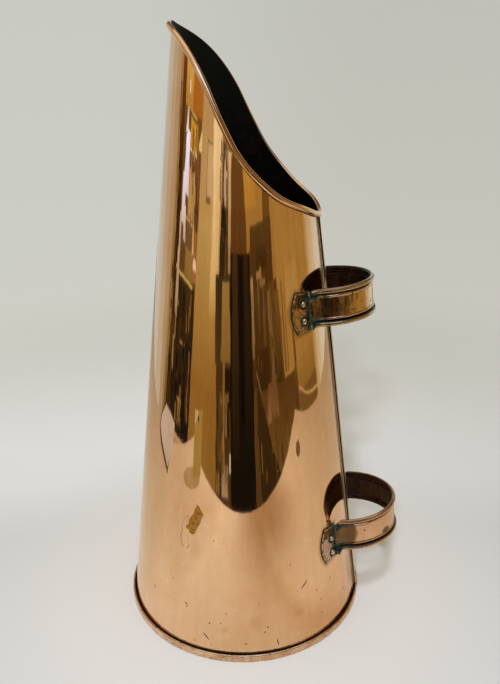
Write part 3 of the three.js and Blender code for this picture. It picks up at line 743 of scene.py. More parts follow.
class Nodes:
    """Short calls for building a node tree. An input is a number, a colour, a Value or a node's socket."""

    def __init__(self, tree):
        self.tree = tree
        tree.nodes.clear()

    def put(self, socket, value):
        if isinstance(value, Value):
            value = value.socket
        if isinstance(value, bpy.types.NodeSocket):
            self.tree.links.new(value, socket)
        else:
            socket.default_value = value

    def wire(self, kind, settings, places, values):
        """Add a node, with values for those of its inputs that the places name or count."""
        node = self.tree.nodes.new(kind)
        for key, value in settings.items():
            setattr(node, key, value)
        for place, value in zip(places, values):
            self.put(node.inputs[place], value)
        return node

    def add(self, kind, settings=None, **inputs):
        return self.wire(kind, settings or {}, [key.replace("_", " ") for key in inputs], inputs.values())

    def math(self, operation, *values):
        return Value(self, self.wire("ShaderNodeMath", {"operation": operation}, (0, 1), values).outputs[0])

    def most(self, first, *others):
        for other in others:
            first = self.math("MAXIMUM", first, other)
        return first

    def step(self, value, low, high, first=0.0, last=1.0):
        """A number that goes softly from first to last while the value goes from low to high."""
        places = ("Value", "From Min", "From Max", "To Min", "To Max")
        values = (value, low, high, first, last)
        node = self.wire("ShaderNodeMapRange", {"interpolation_type": "SMOOTHSTEP"}, places, values)
        return Value(self, node.outputs["Result"])

    def mix(self, factor, *colours):
        return self.wire("ShaderNodeMix", {"data_type": "RGBA"}, (0, 6, 7), (factor, *colours)).outputs[2]

    def number_mix(self, factor, *numbers):
        return self.wire("ShaderNodeMix", {"data_type": "FLOAT"}, (0, 2, 3), (factor, *numbers)).outputs[0]

    def mix_shader(self, factor, first, second):
        values = (factor, first.outputs[0], second.outputs[0])
        return self.wire("ShaderNodeMixShader", {}, (0, 1, 2), values)

    def ramp(self, value, *stops):
        """A colour that changes with a value, through stops of a value and a screen colour."""
        low, high = stops[0][0], stops[-1][0]
        node = self.wire("ShaderNodeValToRGB", {}, (0,), [(value - low) / (high - low)])
        elements = node.color_ramp.elements
        while len(elements) < len(stops):
            elements.new(0.5)
        for element, (place, colour) in zip(elements, stops):
            element.position = (place - low) / (high - low)
            element.color = srgb(*colour)
        return node.outputs[0]

    def noise(self, vector, scale, detail=3.0, rough=0.55):
        node = self.add("ShaderNodeTexNoise", None, Vector=vector, Scale=scale, Detail=detail,
                        Roughness=rough)
        return Value(self, node.outputs["Fac"])

    def mapped(self, vector, location=(0, 0, 0), angle=0.0, scale=(1, 1, 1), kind="POINT"):
        turn = (0, 0, angle)
        return self.add("ShaderNodeMapping", {"vector_type": kind}, Vector=vector, Location=location,
                        Rotation=turn, Scale=scale).outputs[0]

    def split(self, vector):
        node = self.add("ShaderNodeSeparateXYZ", None, Vector=vector)
        return [Value(self, socket) for socket in node.outputs]

    def length(self, vector):
        node = self.wire("ShaderNodeVectorMath", {"operation": "LENGTH"}, (0,), (vector,))
        return Value(self, node.outputs["Value"])

    def mark(self, name):
        return Value(self, self.add("ShaderNodeAttribute", {"attribute_name": name}).outputs["Fac"])

    def sheet(self):
        return self.add("ShaderNodeUVMap", {"uv_map": "sheet"}).outputs[0]

    def place(self):
        return self.add("ShaderNodeTexCoord").outputs["Object"]


def new_material(name):
    material = bpy.data.materials.new(name)
    material.use_nodes = True
    return material, Nodes(material.node_tree)


def finish_material(nodes, colour, metallic, roughness, height, depth, specular=0.5):
    bump = nodes.add("ShaderNodeBump", None, Strength=1.0, Distance=depth, Height=height)
    shader = nodes.add("ShaderNodeBsdfPrincipled", None, Base_Color=colour, Metallic=metallic,
                       Roughness=roughness, Specular_IOR_Level=specular, Normal=bump.outputs[0])
    nodes.add("ShaderNodeOutputMaterial", None, Surface=shader.outputs[0])


COPPER = (0.90, 0.57, 0.33, 1)
COPPER_WARM = (0.84, 0.48, 0.25, 1)
COPPER_PALE = (0.92, 0.71, 0.52, 1)
COPPER_BLUSH = (0.82, 0.43, 0.22, 1)
COPPER_STREAK = (0.76, 0.44, 0.23, 1)
COPPER_MOTTLE = (0.93, 0.70, 0.50, 1)
COPPER_CLOUD = (0.62, 0.34, 0.13, 1)
STAIN_BROWN = (0.42, 0.19, 0.03, 1)
STAIN_DARK = (0.26, 0.10, 0.02, 1)
RIM_COPPER = (0.88, 0.62, 0.42, 1)
RIM_COPPER_DARK = (0.70, 0.42, 0.23, 1)
STRAP_COPPER = (0.84, 0.55, 0.33, 1)
STRAP_COPPER_DARK = (0.74, 0.44, 0.22, 1)
STRAP_ROSY = (0.66, 0.36, 0.24, 1)
RIVET_COPPER = (0.93, 0.74, 0.5, 1)
# The dark of folds, crevices and grooves: grime and painted shade
GRIME_AND_SHADE = srgb(24, 16, 10)
GREEN_GRIME_AND_SHADE = srgb(20, 28, 18)
VERDIGRIS = srgb(34, 62, 48)
SOOT = srgb(7, 5, 3)

# Limits of the finishes: heights between the two handles, the ends of the paler strips beside the seam,
# which are painted reflection, and the grime with painted shade and its stain halo out from the tabs
BETWEEN_HANDLES = (0.2, 0.22)
PALE_BESIDE_SEAM = (SEAM_WIDTH / 2 + 0.009, SEAM_WIDTH / 2 + 0.014)
TAB_GRIME_AND_SHADE_EDGE = (0.001, 0.0016)
TAB_HALO_EDGE = (0.0015, 0.006)

# Marks on the body: turn from the seam in degrees, height, half length, half width, tilt in degrees
SCRATCHES = (
    (-48.2, 0.0699, 0.0065, 0.0008, 40),
    (-96.9, 0.0226, 0.0055, 0.0008, -48),
    (-63.4, 0.0162, 0.0045, 0.0006, -80),
    (-129.3, 0.0501, 0.0026, 0.001, -60),
    (-31.0, 0.06, 0.0035, 0.0004, 85),
    (-19.8, 0.0324, 0.002, 0.0008, 70),
    (-107.7, 0.0523, 0.0022, 0.0008, -35),
    (-107.2, 0.0495, 0.0015, 0.0006, 60),
    (-78.2, 0.0183, 0.0014, 0.0008, 20),
)
# Pits: turn, height and size
PITS = (
    (-95.3, 0.0379, 0.0011),
    (-89.9, 0.0394, 0.0009),
    (-87.3, 0.0506, 0.0008),
    (-67.8, 0.0349, 0.0012),
    (-69.3, 0.0299, 0.0011),
    (-71.8, 0.0613, 0.0007),
    (-116.1, 0.0732, 0.0008),
    (-93.3, 0.1267, 0.001),
    (-74.1, 0.1106, 0.0006),
    (-55.5, 0.0963, 0.0008),
    (-0.8, 0.0671, 0.0008),
    (-41.1, 0.057, 0.001),
    (-38.6, 0.0443, 0.0009),
    (-38.6, 0.0288, 0.0009),
    (-121.5, 0.2214, 0.0009),
    (-113.1, 0.2208, 0.0009),
    (-102.4, 0.0145, 0.0008),
    (-17.7, 0.0268, 0.0009),
)
# Faint brown clouds: turn, height, half width, half height
CLOUDS = (
    (-52.1, 0.0412, 0.009, 0.006),
    (-72.9, 0.0419, 0.010, 0.014),
    (-103.0, 0.115, 0.012, 0.02),
    (-88.0, 0.033, 0.006, 0.005),
)
# A brown stain and the thin curls beside it, given as the scratches are
STAIN = (-103.5, 0.1438, 0.0066, 0.0158, -28)
CURLS = ((-109.5, 0.1205, 0.0052, 0.0088, 16), (-109.6, 0.1385, 0.0022, 0.0085, -24))


def sheet_place(turn, height):
    return (math.radians(turn % 360) * FOOT_RADIUS, height, 0)


def on_sheet(nodes, sheet, turn, height, half_width, half_height, tilt):
    """Sheet coordinates measured from a mark's middle, in its half sizes and along its tilt."""
    half_sizes = (half_width, half_height, 1)
    return nodes.mapped(sheet, sheet_place(turn, height), math.radians(tilt), half_sizes, "TEXTURE")


def body_marks(nodes, sheet):
    """Scratches as thin dashes and pits as dots, each a stretched circle on the sheet."""
    total = 0.0
    dots = tuple((turn, height, size, size * 0.8, 60) for turn, height, size in PITS)
    for mark in SCRATCHES + dots:
        away = nodes.length(on_sheet(nodes, sheet, *mark))
        total = nodes.most(total, nodes.step(away, 0.65, 1.0, 1.0, 0.0))
    return total


def tab_outline(nodes, sheet, handle):
    """Distance on the wall from the outline of a handle's tabs, less than zero under them."""
    route = strap_route(handle)
    split = nodes.split(sheet)
    turn = split[0] / FOOT_RADIUS
    turn = math.pi - abs(turn - math.pi)
    along = (turn - route["leave_turn"]) * route["tab_radius"]
    across = abs((split[1] - route["tab_middle"]) / math.cos(WALL_LEAN))
    share = across / (TAB_HEIGHT / 2)
    bulge = share * share * TAB_BULGE
    past_tip = along + bulge - handle["tab_length"]
    spread = along * ((TAB_HEIGHT - STRAP_HEIGHT) / 2 / handle["tab_length"])
    past_side = across - (spread + STRAP_HEIGHT / 2)
    before = along * -1.0 - 0.004
    return nodes.most(past_tip, past_side, before)


def stain_mask(nodes, sheet, place):
    """The brown stain, a ragged block."""
    split = nodes.split(on_sheet(nodes, sheet, *STAIN))
    reach = nodes.most(abs(split[0]), abs(split[1]))
    ragged = (nodes.noise(place, 150.0, 3.0, 0.5) - 0.5) * 1.1
    return nodes.step(reach + ragged, 0.93, 1.0, 1.0, 0.0)


def curl_mask(nodes, sheet, place):
    """The thin curls, as broken rings."""
    total = 0.0
    for curl in CURLS:
        away = nodes.length(on_sheet(nodes, sheet, *curl)) - 1.0
        total = nodes.most(total, nodes.step(abs(away), 0.04, 0.13, 1.0, 0.0))
    return total * nodes.step(nodes.noise(place, 90.0, 1.0), 0.36, 0.5)


def cloud_mask(nodes, sheet):
    total = 0.0
    for turn, height, half_width, half_height in CLOUDS:
        away = nodes.length(on_sheet(nodes, sheet, turn, height, half_width, half_height, 0))
        total = nodes.most(total, nodes.step(away, 0.1, 1.0, 1.0, 0.0))
    return total


def copper_material():
    """Polished copper sheet outside, grime and painted shade in its folds, pits and scratches; dull and
    dark inside.
    """
    material, nodes = new_material("polished_copper")
    sheet = nodes.sheet()
    place = nodes.place()
    inside, grime_and_shade = nodes.mark("inside"), nodes.mark("grime_and_shade")
    colour = nodes.mix(nodes.step(nodes.noise(place, 13.0, 5.0, 0.6), 0.42, 0.75), COPPER, COPPER_WARM)
    blush = nodes.noise(nodes.mapped(place, scale=(1.0, 1.0, 0.5)), 34.0, 5.0, 0.65)
    colour = nodes.mix(nodes.step(blush, 0.5, 0.78, 0.0, 0.45), colour, COPPER_BLUSH)
    streaks = nodes.noise(nodes.mapped(sheet, scale=(1.0, 0.1, 1.0)), 75.0, 3.0, 0.6)
    colour = nodes.mix(nodes.step(streaks, 0.36, 0.7, 0.0, 0.3), colour, COPPER_STREAK)
    mottle = nodes.noise(nodes.mapped(sheet, scale=(1.0, 0.6, 1.0)), 110.0, 5.0, 0.7)
    colour = nodes.mix(nodes.step(mottle, 0.5, 0.72, 0.0, 0.35), colour, COPPER_MOTTLE)
    colour = nodes.mix(cloud_mask(nodes, sheet) * 0.35, colour, COPPER_CLOUD)
    patch = nodes.step(nodes.noise(sheet, 260.0, 3.0), 0.44, 0.62)
    worn = nodes.mix(patch, STAIN_BROWN, STAIN_DARK)
    colour = nodes.mix(stain_mask(nodes, sheet, place) * 0.95, colour, worn)
    colour = nodes.mix(curl_mask(nodes, sheet, place) * 0.6, colour, srgb(122, 72, 40))

    specks = nodes.add("ShaderNodeTexVoronoi", None, Vector=sheet, Scale=150.0, Randomness=1.0)
    rare = nodes.step(nodes.noise(sheet, 70.0, 1.0), 0.58, 0.66)
    pit = nodes.step(specks.outputs["Distance"], 0.05, 0.1, 1.0, 0.0) * rare
    pit = nodes.most(pit * 0.7, body_marks(nodes, sheet))
    colour = nodes.mix(pit * 0.9, colour, srgb(60, 36, 16))

    ragged = nodes.noise(place, 300.0, 4.0, 0.6) - 0.5
    # The folds' mark gives grime and painted shade
    dirt = nodes.step(grime_and_shade + ragged * 0.5, 0.35, 0.75)
    split = nodes.split(place)
    aside = abs(split[1])
    # Paler, rougher strips on the wall beside the seam: painted reflection
    beside = nodes.step(aside, *PALE_BESIDE_SEAM, 1.0, 0.0)
    beside *= nodes.math("GREATER_THAN", split[0], 0.0)
    colour = nodes.mix(beside * 0.4, colour, COPPER_PALE)
    # A pale tint on the seam's highlight line and foot: painted highlight
    seam_highlight = nodes.mark("seam_highlight")
    colour = nodes.mix(seam_highlight, colour, srgb(190, 172, 130))
    halo = 0.0
    for handle in HANDLES.values():
        # A dark outline on the wall round each tab: grime and painted shade where the tab meets the wall
        gap = tab_outline(nodes, sheet, handle) + ragged * -0.0009
        dirt = nodes.most(dirt, nodes.step(gap, *TAB_GRIME_AND_SHADE_EDGE, 1.0, 0.0))
        halo = nodes.most(halo, nodes.step(gap, *TAB_HALO_EDGE, 0.5, 0.0))
    colour = nodes.mix(halo, colour, srgb(118, 92, 48))
    tint = nodes.mix(nodes.step(nodes.noise(place, 40.0, 2.0), 0.45, 0.6), GRIME_AND_SHADE, GREEN_GRIME_AND_SHADE)
    colour = nodes.mix(dirt, colour, tint)
    inner = nodes.mix(nodes.step(nodes.noise(place, 45.0, 5.0, 0.65), 0.45, 0.75), SOOT, srgb(20, 12, 8))
    colour = nodes.mix(inside, colour, nodes.mix(nodes.step(split[2], 0.46, 0.58), inner, srgb(9, 12, 8)))

    brushed = nodes.noise(nodes.mapped(sheet, scale=(5.0, 1.0, 1.0)), 420.0, 2.0)
    roughness = nodes.step(brushed, 0.3, 0.8, 0.025, 0.06)
    roughness = nodes.number_mix(nodes.most(dirt, pit), roughness, 0.5)
    roughness = nodes.number_mix(inside, roughness, 0.6)
    roughness = nodes.number_mix(beside * 0.8, roughness, 0.35)
    roughness = nodes.number_mix(seam_highlight, roughness, 0.4)
    metallic = nodes.number_mix(nodes.most(dirt, inside, seam_highlight), 1.0, 0.1)
    waves = nodes.noise(nodes.mapped(sheet, scale=(1.0, 0.3, 1.0)), 20.0, 3.0, 0.5)
    fine = nodes.noise(nodes.mapped(sheet, scale=(3.0, 1.0, 1.0)), 700.0, 2.0)
    height = waves + fine * 0.003 - pit * 0.15
    finish_material(nodes, colour, metallic, roughness, height, 0.0003, nodes.number_mix(inside, 0.5, 0.12))
    return material


def base_material():
    """The folded rim of the base: paler copper, rubbed and pitted by the floor."""
    material, nodes = new_material("rim_copper")
    place = nodes.place()
    sheet = nodes.sheet()
    inside, grime_and_shade = nodes.mark("inside"), nodes.mark("grime_and_shade")
    worn = nodes.noise(place, 90.0, 5.0, 0.65)
    colour = nodes.mix(nodes.step(worn, 0.36, 0.6), RIM_COPPER, RIM_COPPER_DARK)
    speck = nodes.noise(nodes.mapped(place, scale=(1.0, 1.0, 3.0)), 380.0, 4.0, 0.65)
    colour = nodes.mix(nodes.step(speck, 0.54, 0.64, 0.0, 0.85), colour, srgb(96, 62, 38))
    # The crevice behind the fold: grime and painted shade
    colour = nodes.mix(grime_and_shade, colour, GRIME_AND_SHADE)
    colour = nodes.mix(inside, colour, SOOT)
    rubbed = nodes.noise(nodes.mapped(sheet, scale=(0.3, 1.0, 1.0)), 600.0, 3.0)
    roughness = nodes.step(rubbed, 0.3, 0.75, 0.05, 0.2)
    dull = nodes.most(grime_and_shade, inside)
    metallic, roughness = nodes.number_mix(dull, 1.0, 0.15), nodes.number_mix(dull, roughness, 0.55)
    finish_material(nodes, colour, metallic, roughness, worn + speck * 0.2, 0.0002)
    return material


def strap_material():
    """Copper strap: polished beads and panel, grime and painted shade in the grooves, verdigris near the
    tabs, dark inside.
    """
    material, nodes = new_material("strap_copper")
    sheet = nodes.sheet()
    place = nodes.place()
    groove, inner, near = nodes.mark("groove"), nodes.mark("inner"), nodes.mark("near_tab")
    on_tab, edge, ring = nodes.mark("on_tab"), nodes.mark("edge"), nodes.mark("ring")
    valley, roll, high = nodes.mark("valley"), nodes.mark("roll"), nodes.mark("high")
    bevel, tarnish = nodes.mark("bevel"), nodes.mark("tarnish")
    clouds = nodes.noise(place, 60.0, 4.0)
    speckle = nodes.noise(place, 700.0, 4.0, 0.7)
    mottle = nodes.noise(place, 190.0, 5.0, 0.65)
    upright = nodes.noise(nodes.mapped(sheet, scale=(1.0, 0.28, 1.0)), 260.0, 5.0, 0.65)
    ragged = (speckle - 0.5) * 0.5
    wavy = (mottle - 0.5) * 0.5

    colour = nodes.mix(nodes.step(clouds, 0.35, 0.7), STRAP_COPPER, STRAP_COPPER_DARK)
    # Stripes across the strap from the upright noise, here and in the tarnish's browns below: tarnish and
    # painted reflection
    rosy = nodes.step(upright, 0.44, 0.58) * nodes.step(near, 0.0, 0.5, 0.15, 0.7)
    colour = nodes.mix(rosy, colour, STRAP_ROSY)
    low = nodes.step(nodes.split(place)[2], *BETWEEN_HANDLES, 1.0, 0.0)
    # The beads are painted darker, the lower handle's darkest: painted shade
    bead = nodes.step(roll, 0.1, 0.25, 0.0, 0.8)
    colour = nodes.mix(bead, colour, nodes.mix(low, (0.52, 0.35, 0.18, 1), (0.50, 0.27, 0.14, 1)))
    spots = nodes.step(upright, 0.63, 0.69) * 0.75
    colour = nodes.mix(spots, colour, srgb(74, 44, 22))
    # The lower handle's copper is painted darker and rosier: painted shade
    colour = nodes.mix(low * 0.35, colour, (0.7, 0.4, 0.26, 1))
    stained = nodes.step(tarnish + wavy, 0.35, 0.65, 0.0, 0.85)
    stained = stained * (1.0 - on_tab)
    fleck = nodes.noise(place, 330.0, 4.0, 0.65)
    brown = nodes.ramp(upright, (0.36, (62, 44, 24)), (0.47, (120, 84, 46)), (0.58, (188, 138, 94)))
    low_brown = nodes.ramp(clouds, (0.35, (72, 52, 26)), (0.5, (96, 70, 38)), (0.65, (124, 88, 54)))
    brown = nodes.mix(low, brown, low_brown)
    colour = nodes.mix(stained, colour, brown)
    gold = nodes.mix(nodes.step(speckle, 0.46, 0.62), (0.78, 0.43, 0.17, 1), srgb(84, 56, 28))
    low_gold = nodes.mix(nodes.step(speckle, 0.52, 0.64), srgb(208, 174, 152), srgb(104, 70, 54))
    gold = nodes.mix(low, gold, low_gold)
    stipple = nodes.mix(nodes.step(speckle, 0.42, 0.56), srgb(150, 118, 78), srgb(46, 34, 20))
    upper = high + wavy - low * 0.12
    tab = nodes.mix(nodes.step(upper, 0.62, 0.8), gold, stipple)
    # The bevel's bright cream: a painted highlight
    bright = nodes.ramp(fleck, (0.4, (122, 82, 42)), (0.5, (204, 152, 96)), (0.62, (240, 214, 170)))
    tab = nodes.mix(bevel, tab, bright)
    colour = nodes.mix(on_tab, colour, tab)

    # Grooves darkened with grime and painted shade, green verdigris near the tabs; the dark line along each
    # bead is a painted reflection
    dirt = nodes.step(groove + ragged, 0.4, 0.75)
    line = nodes.step(abs(roll + wavy * 0.06 - 0.385), 0.02, 0.045, 0.9, 0.0)
    dirt = nodes.most(dirt, line * nodes.step(clouds, 0.38, 0.5, 0.35, 1.0))
    green = nodes.mix(nodes.step(mottle, 0.42, 0.62), srgb(12, 26, 20), VERDIGRIS)
    colour = nodes.mix(dirt, colour, nodes.mix(nodes.step(near, 0.15, 0.7), GRIME_AND_SHADE, green))
    crust = valley * nodes.step(near + wavy, 0.35, 0.7)
    patchy = (fleck - 0.5) * 1.6
    round_rivets = nodes.step(ring + (ragged + patchy), 0.4, 0.65)
    crust = nodes.most(crust * 0.9, round_rivets)
    mossy = nodes.ramp(fleck, (0.36, (8, 10, 8)), (0.5, (14, 30, 24)), (0.62, (40, 74, 60)))
    colour = nodes.mix(crust, colour, mossy)
    outline = nodes.step(edge + ragged, 0.5, 0.8) * 0.85
    colour = nodes.mix(outline, colour, srgb(26, 18, 10))
    dark = nodes.mix(nodes.step(mottle, 0.4, 0.7), srgb(22, 12, 7), srgb(60, 36, 20))
    colour = nodes.mix(inner, colour, dark)

    polish = nodes.step(nodes.noise(sheet, 500.0, 2.0), 0.3, 0.8, 0.05, 0.13)
    dull = nodes.most(dirt, crust, outline)
    flat = on_tab * (0.7 - bevel * 0.5)
    worn = nodes.most(dull, inner, flat, stained * 0.6)
    metallic = nodes.number_mix(nodes.most(dull, inner * 0.6), 1.0, 0.3)
    dents = nodes.noise(nodes.mapped(sheet, scale=(1.0, 0.3, 1.0)), 330.0, 3.0)
    swells = nodes.noise(sheet, 70.0, 3.0)
    rough = dents * nodes.step(clouds, 0.35, 0.62, 0.05, 0.4)
    height = swells + rough + speckle * 0.03 + speckle * on_tab * 0.4
    finish_material(nodes, colour, metallic, nodes.number_mix(worn, polish, 0.4), height, 0.0006)
    return material


def rivet_material():
    material, nodes = new_material("rivet_copper")
    place = nodes.place()
    speckle = nodes.noise(place, 500.0, 4.0, 0.65)
    colour = nodes.mix(nodes.step(speckle, 0.42, 0.7), RIVET_COPPER, srgb(176, 124, 70))
    tail, foot = nodes.mark("tail"), nodes.mark("foot")
    colour = nodes.mix(foot, colour, srgb(16, 30, 26))
    colour = nodes.mix(tail, colour, SOOT)
    roughness = nodes.number_mix(nodes.most(tail, foot), nodes.step(speckle, 0.3, 0.8, 0.16, 0.36), 0.6)
    finish_material(nodes, colour, 1.0, roughness, speckle, 0.0003)
    return material


def steel_material():
    material, nodes = new_material("steel_wire")
    place = nodes.place()
    drawn = nodes.noise(nodes.mapped(place, scale=(1.0, 1.0, 0.2)), 900.0, 3.0)
    colour = nodes.mix(nodes.step(drawn, 0.3, 0.7), srgb(120, 114, 108), srgb(84, 74, 66))
    roughness = nodes.step(drawn, 0.3, 0.8, 0.3, 0.5)
    finish_material(nodes, colour, 1.0, roughness, drawn, 0.00005)
    return material


# The pieces of the object

def settle(piece, material, slot, *nodes):
    """Give a piece its finish and its body, and put it in the place of CAD nodes. The slot is not used."""
    piece.data.materials.append(material)
    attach(piece, "root")
    if nodes:
        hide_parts(*nodes)


def dress():
    copper, strap, rivet = copper_material(), strap_material(), rivet_material()
    settle(make_body(), copper, "copper_body", "body_shell")
    settle(make_seam(), copper, "copper_body")
    settle(make_base(), base_material(), "copper_base", "base_plate")
    for name, handle in HANDLES.items():
        settle(make_strap(name, handle), strap, "copper_strap", name + "_strap")
        route = strap_route(handle)
        rivet_turn = route["leave_turn"] + RIVET_INSET / route["tab_radius"]
        for side, sign in (("left", -1), ("right", 1)):
            for level, lift in (("top", 1), ("bottom", -1)):
                height = handle["height"] - handle["rivet_drop"] + lift * RIVET_SPACING / 2
                node = f"{name}_rivet_{side}_{level}"
                settle(make_rivet(node + "_copper", sign * rivet_turn, height), rivet, "copper_rivet", node)
    steel = steel_material()
    for name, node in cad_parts.items():
        if name.endswith("_wire"):
            node.data.materials.clear()
            node.data.materials.append(steel)


# Studio, turned with the camera, which stands this far round from -Y towards +X

CAMERA_SIDE = math.radians(12.03)
STUDIO = Matrix.Rotation(CAMERA_SIDE, 4, "Z")


def stage_mesh(name, verts, faces, material, rays):
    mesh = bpy.data.meshes.new(name)
    mesh.from_pydata(verts, [], faces)
    piece = new_object(name, mesh)
    piece.matrix_world = STUDIO
    piece.data.materials.append(material)
    for ray in ("camera", "diffuse", "glossy", "transmission", "volume_scatter", "shadow"):
        setattr(piece, "visible_" + ray, ray in rays)
    return piece


def floor_material():
    """Pale and matt, painted brighter behind the object and at the left. It fades out towards its rim."""
    material, nodes = new_material("floor_card")
    place = nodes.place()
    split = nodes.split(place)
    # Brighter behind and at the left, darker to the right: painted light
    colour = nodes.ramp(split[1], (-0.2, (203, 206, 204)), (0.08, (209, 211, 210)), (0.2, (229, 231, 231)),
                        (0.3, (235, 237, 238)), (0.42, (236, 237, 237)), (1.0, (232, 233, 232)))
    right = nodes.step(split[0], -0.1, 0.4, 0.0, 0.4)
    colour = nodes.mix(right, colour, srgb(205, 206, 202))
    # Brighter round the object: painted light thrown off the copper
    near = nodes.step(nodes.length(place), 0.14, 0.36, 0.9, 0.0)
    colour = nodes.mix(near, colour, srgb(221, 219, 213))
    shader = nodes.add("ShaderNodeBsdfPrincipled", None, Base_Color=colour, Roughness=0.7)
    clear = nodes.step(nodes.length(place), 0.5, 1.35)
    blend = nodes.mix_shader(clear, shader, nodes.add("ShaderNodeBsdfTransparent"))
    nodes.add("ShaderNodeOutputMaterial", None, Surface=blend.outputs[0])
    return material


def card_material():
    """The pale card as the polish shows it, with painted light brightest at the left and a painted shadow
    in front.
    """
    material, nodes = new_material("sheet_card")
    place = nodes.place()
    split = nodes.split(place)
    # Brightest at the left, warmer and darker to the right: painted light
    colour = nodes.ramp(split[0], (-0.6, (206, 202, 190)), (-0.3, (214, 213, 204)),
                        (-0.18, (226, 229, 223)), (-0.04, (219, 219, 212)), (0.04, (212, 208, 196)),
                        (0.11, (202, 192, 170)), (0.15, (222, 216, 202)), (0.24, (216, 209, 194)),
                        (0.4, (212, 204, 186)), (0.8, (206, 196, 176)))
    front = nodes.step(split[1], -0.16, -0.07, 0.2, 0.0) * nodes.step(split[0], 0.02, 0.1, 1.0, 0.0)
    side = nodes.step(split[1], -0.08, 0.0, 0.0, 0.2) * nodes.step(split[0], -0.05, 0.0, 1.0, 0.0)
    for duller in (front, side):
        colour = nodes.mix(duller, colour, srgb(186, 174, 146))
    # A soft brown patch in front: a painted shadow
    away = nodes.length(nodes.mapped(place, (0.18, -0.49, 0), 0.0, (0.29, 0.32, 1), "TEXTURE"))
    colour = nodes.mix(nodes.step(away, 0.1, 1.1, 0.85, 0.0), colour, srgb(142, 116, 76))
    clouds = nodes.noise(nodes.mapped(place, scale=(1.0, 0.6, 1.0)), 9.0, 2.0)
    colour = nodes.mix(nodes.step(clouds, 0.4, 0.7, 0.0, 0.18), colour, srgb(190, 180, 160))
    shader = nodes.add("ShaderNodeBsdfDiffuse", None, Color=colour)
    nodes.add("ShaderNodeOutputMaterial", None, Surface=shader.outputs[0])
    return material


# The card that the object stands on: left, right, front and back
CARD_EDGES = (-0.70, 0.92, -0.52, 3.0)
CARD_LIFT = 0.00005
FLOOR_RADIUS = 2.4
FLOOR_SIDES = 96


def make_floor():
    ring = [(x, y, 0) for x, y in arc(0, 0, FLOOR_RADIUS, 0, 360, FLOOR_SIDES + 1)[:-1]]
    stage_mesh("floor", ring, [list(range(FLOOR_SIDES))], floor_material(), ("camera", "diffuse", "shadow"))
    left, right, front, back = CARD_EDGES
    corners = [(x, y, CARD_LIFT) for x, y in ((left, front), (right, front), (right, back), (left, back))]
    stage_mesh("card", corners, [[0, 1, 2, 3]], card_material(), ("glossy",))


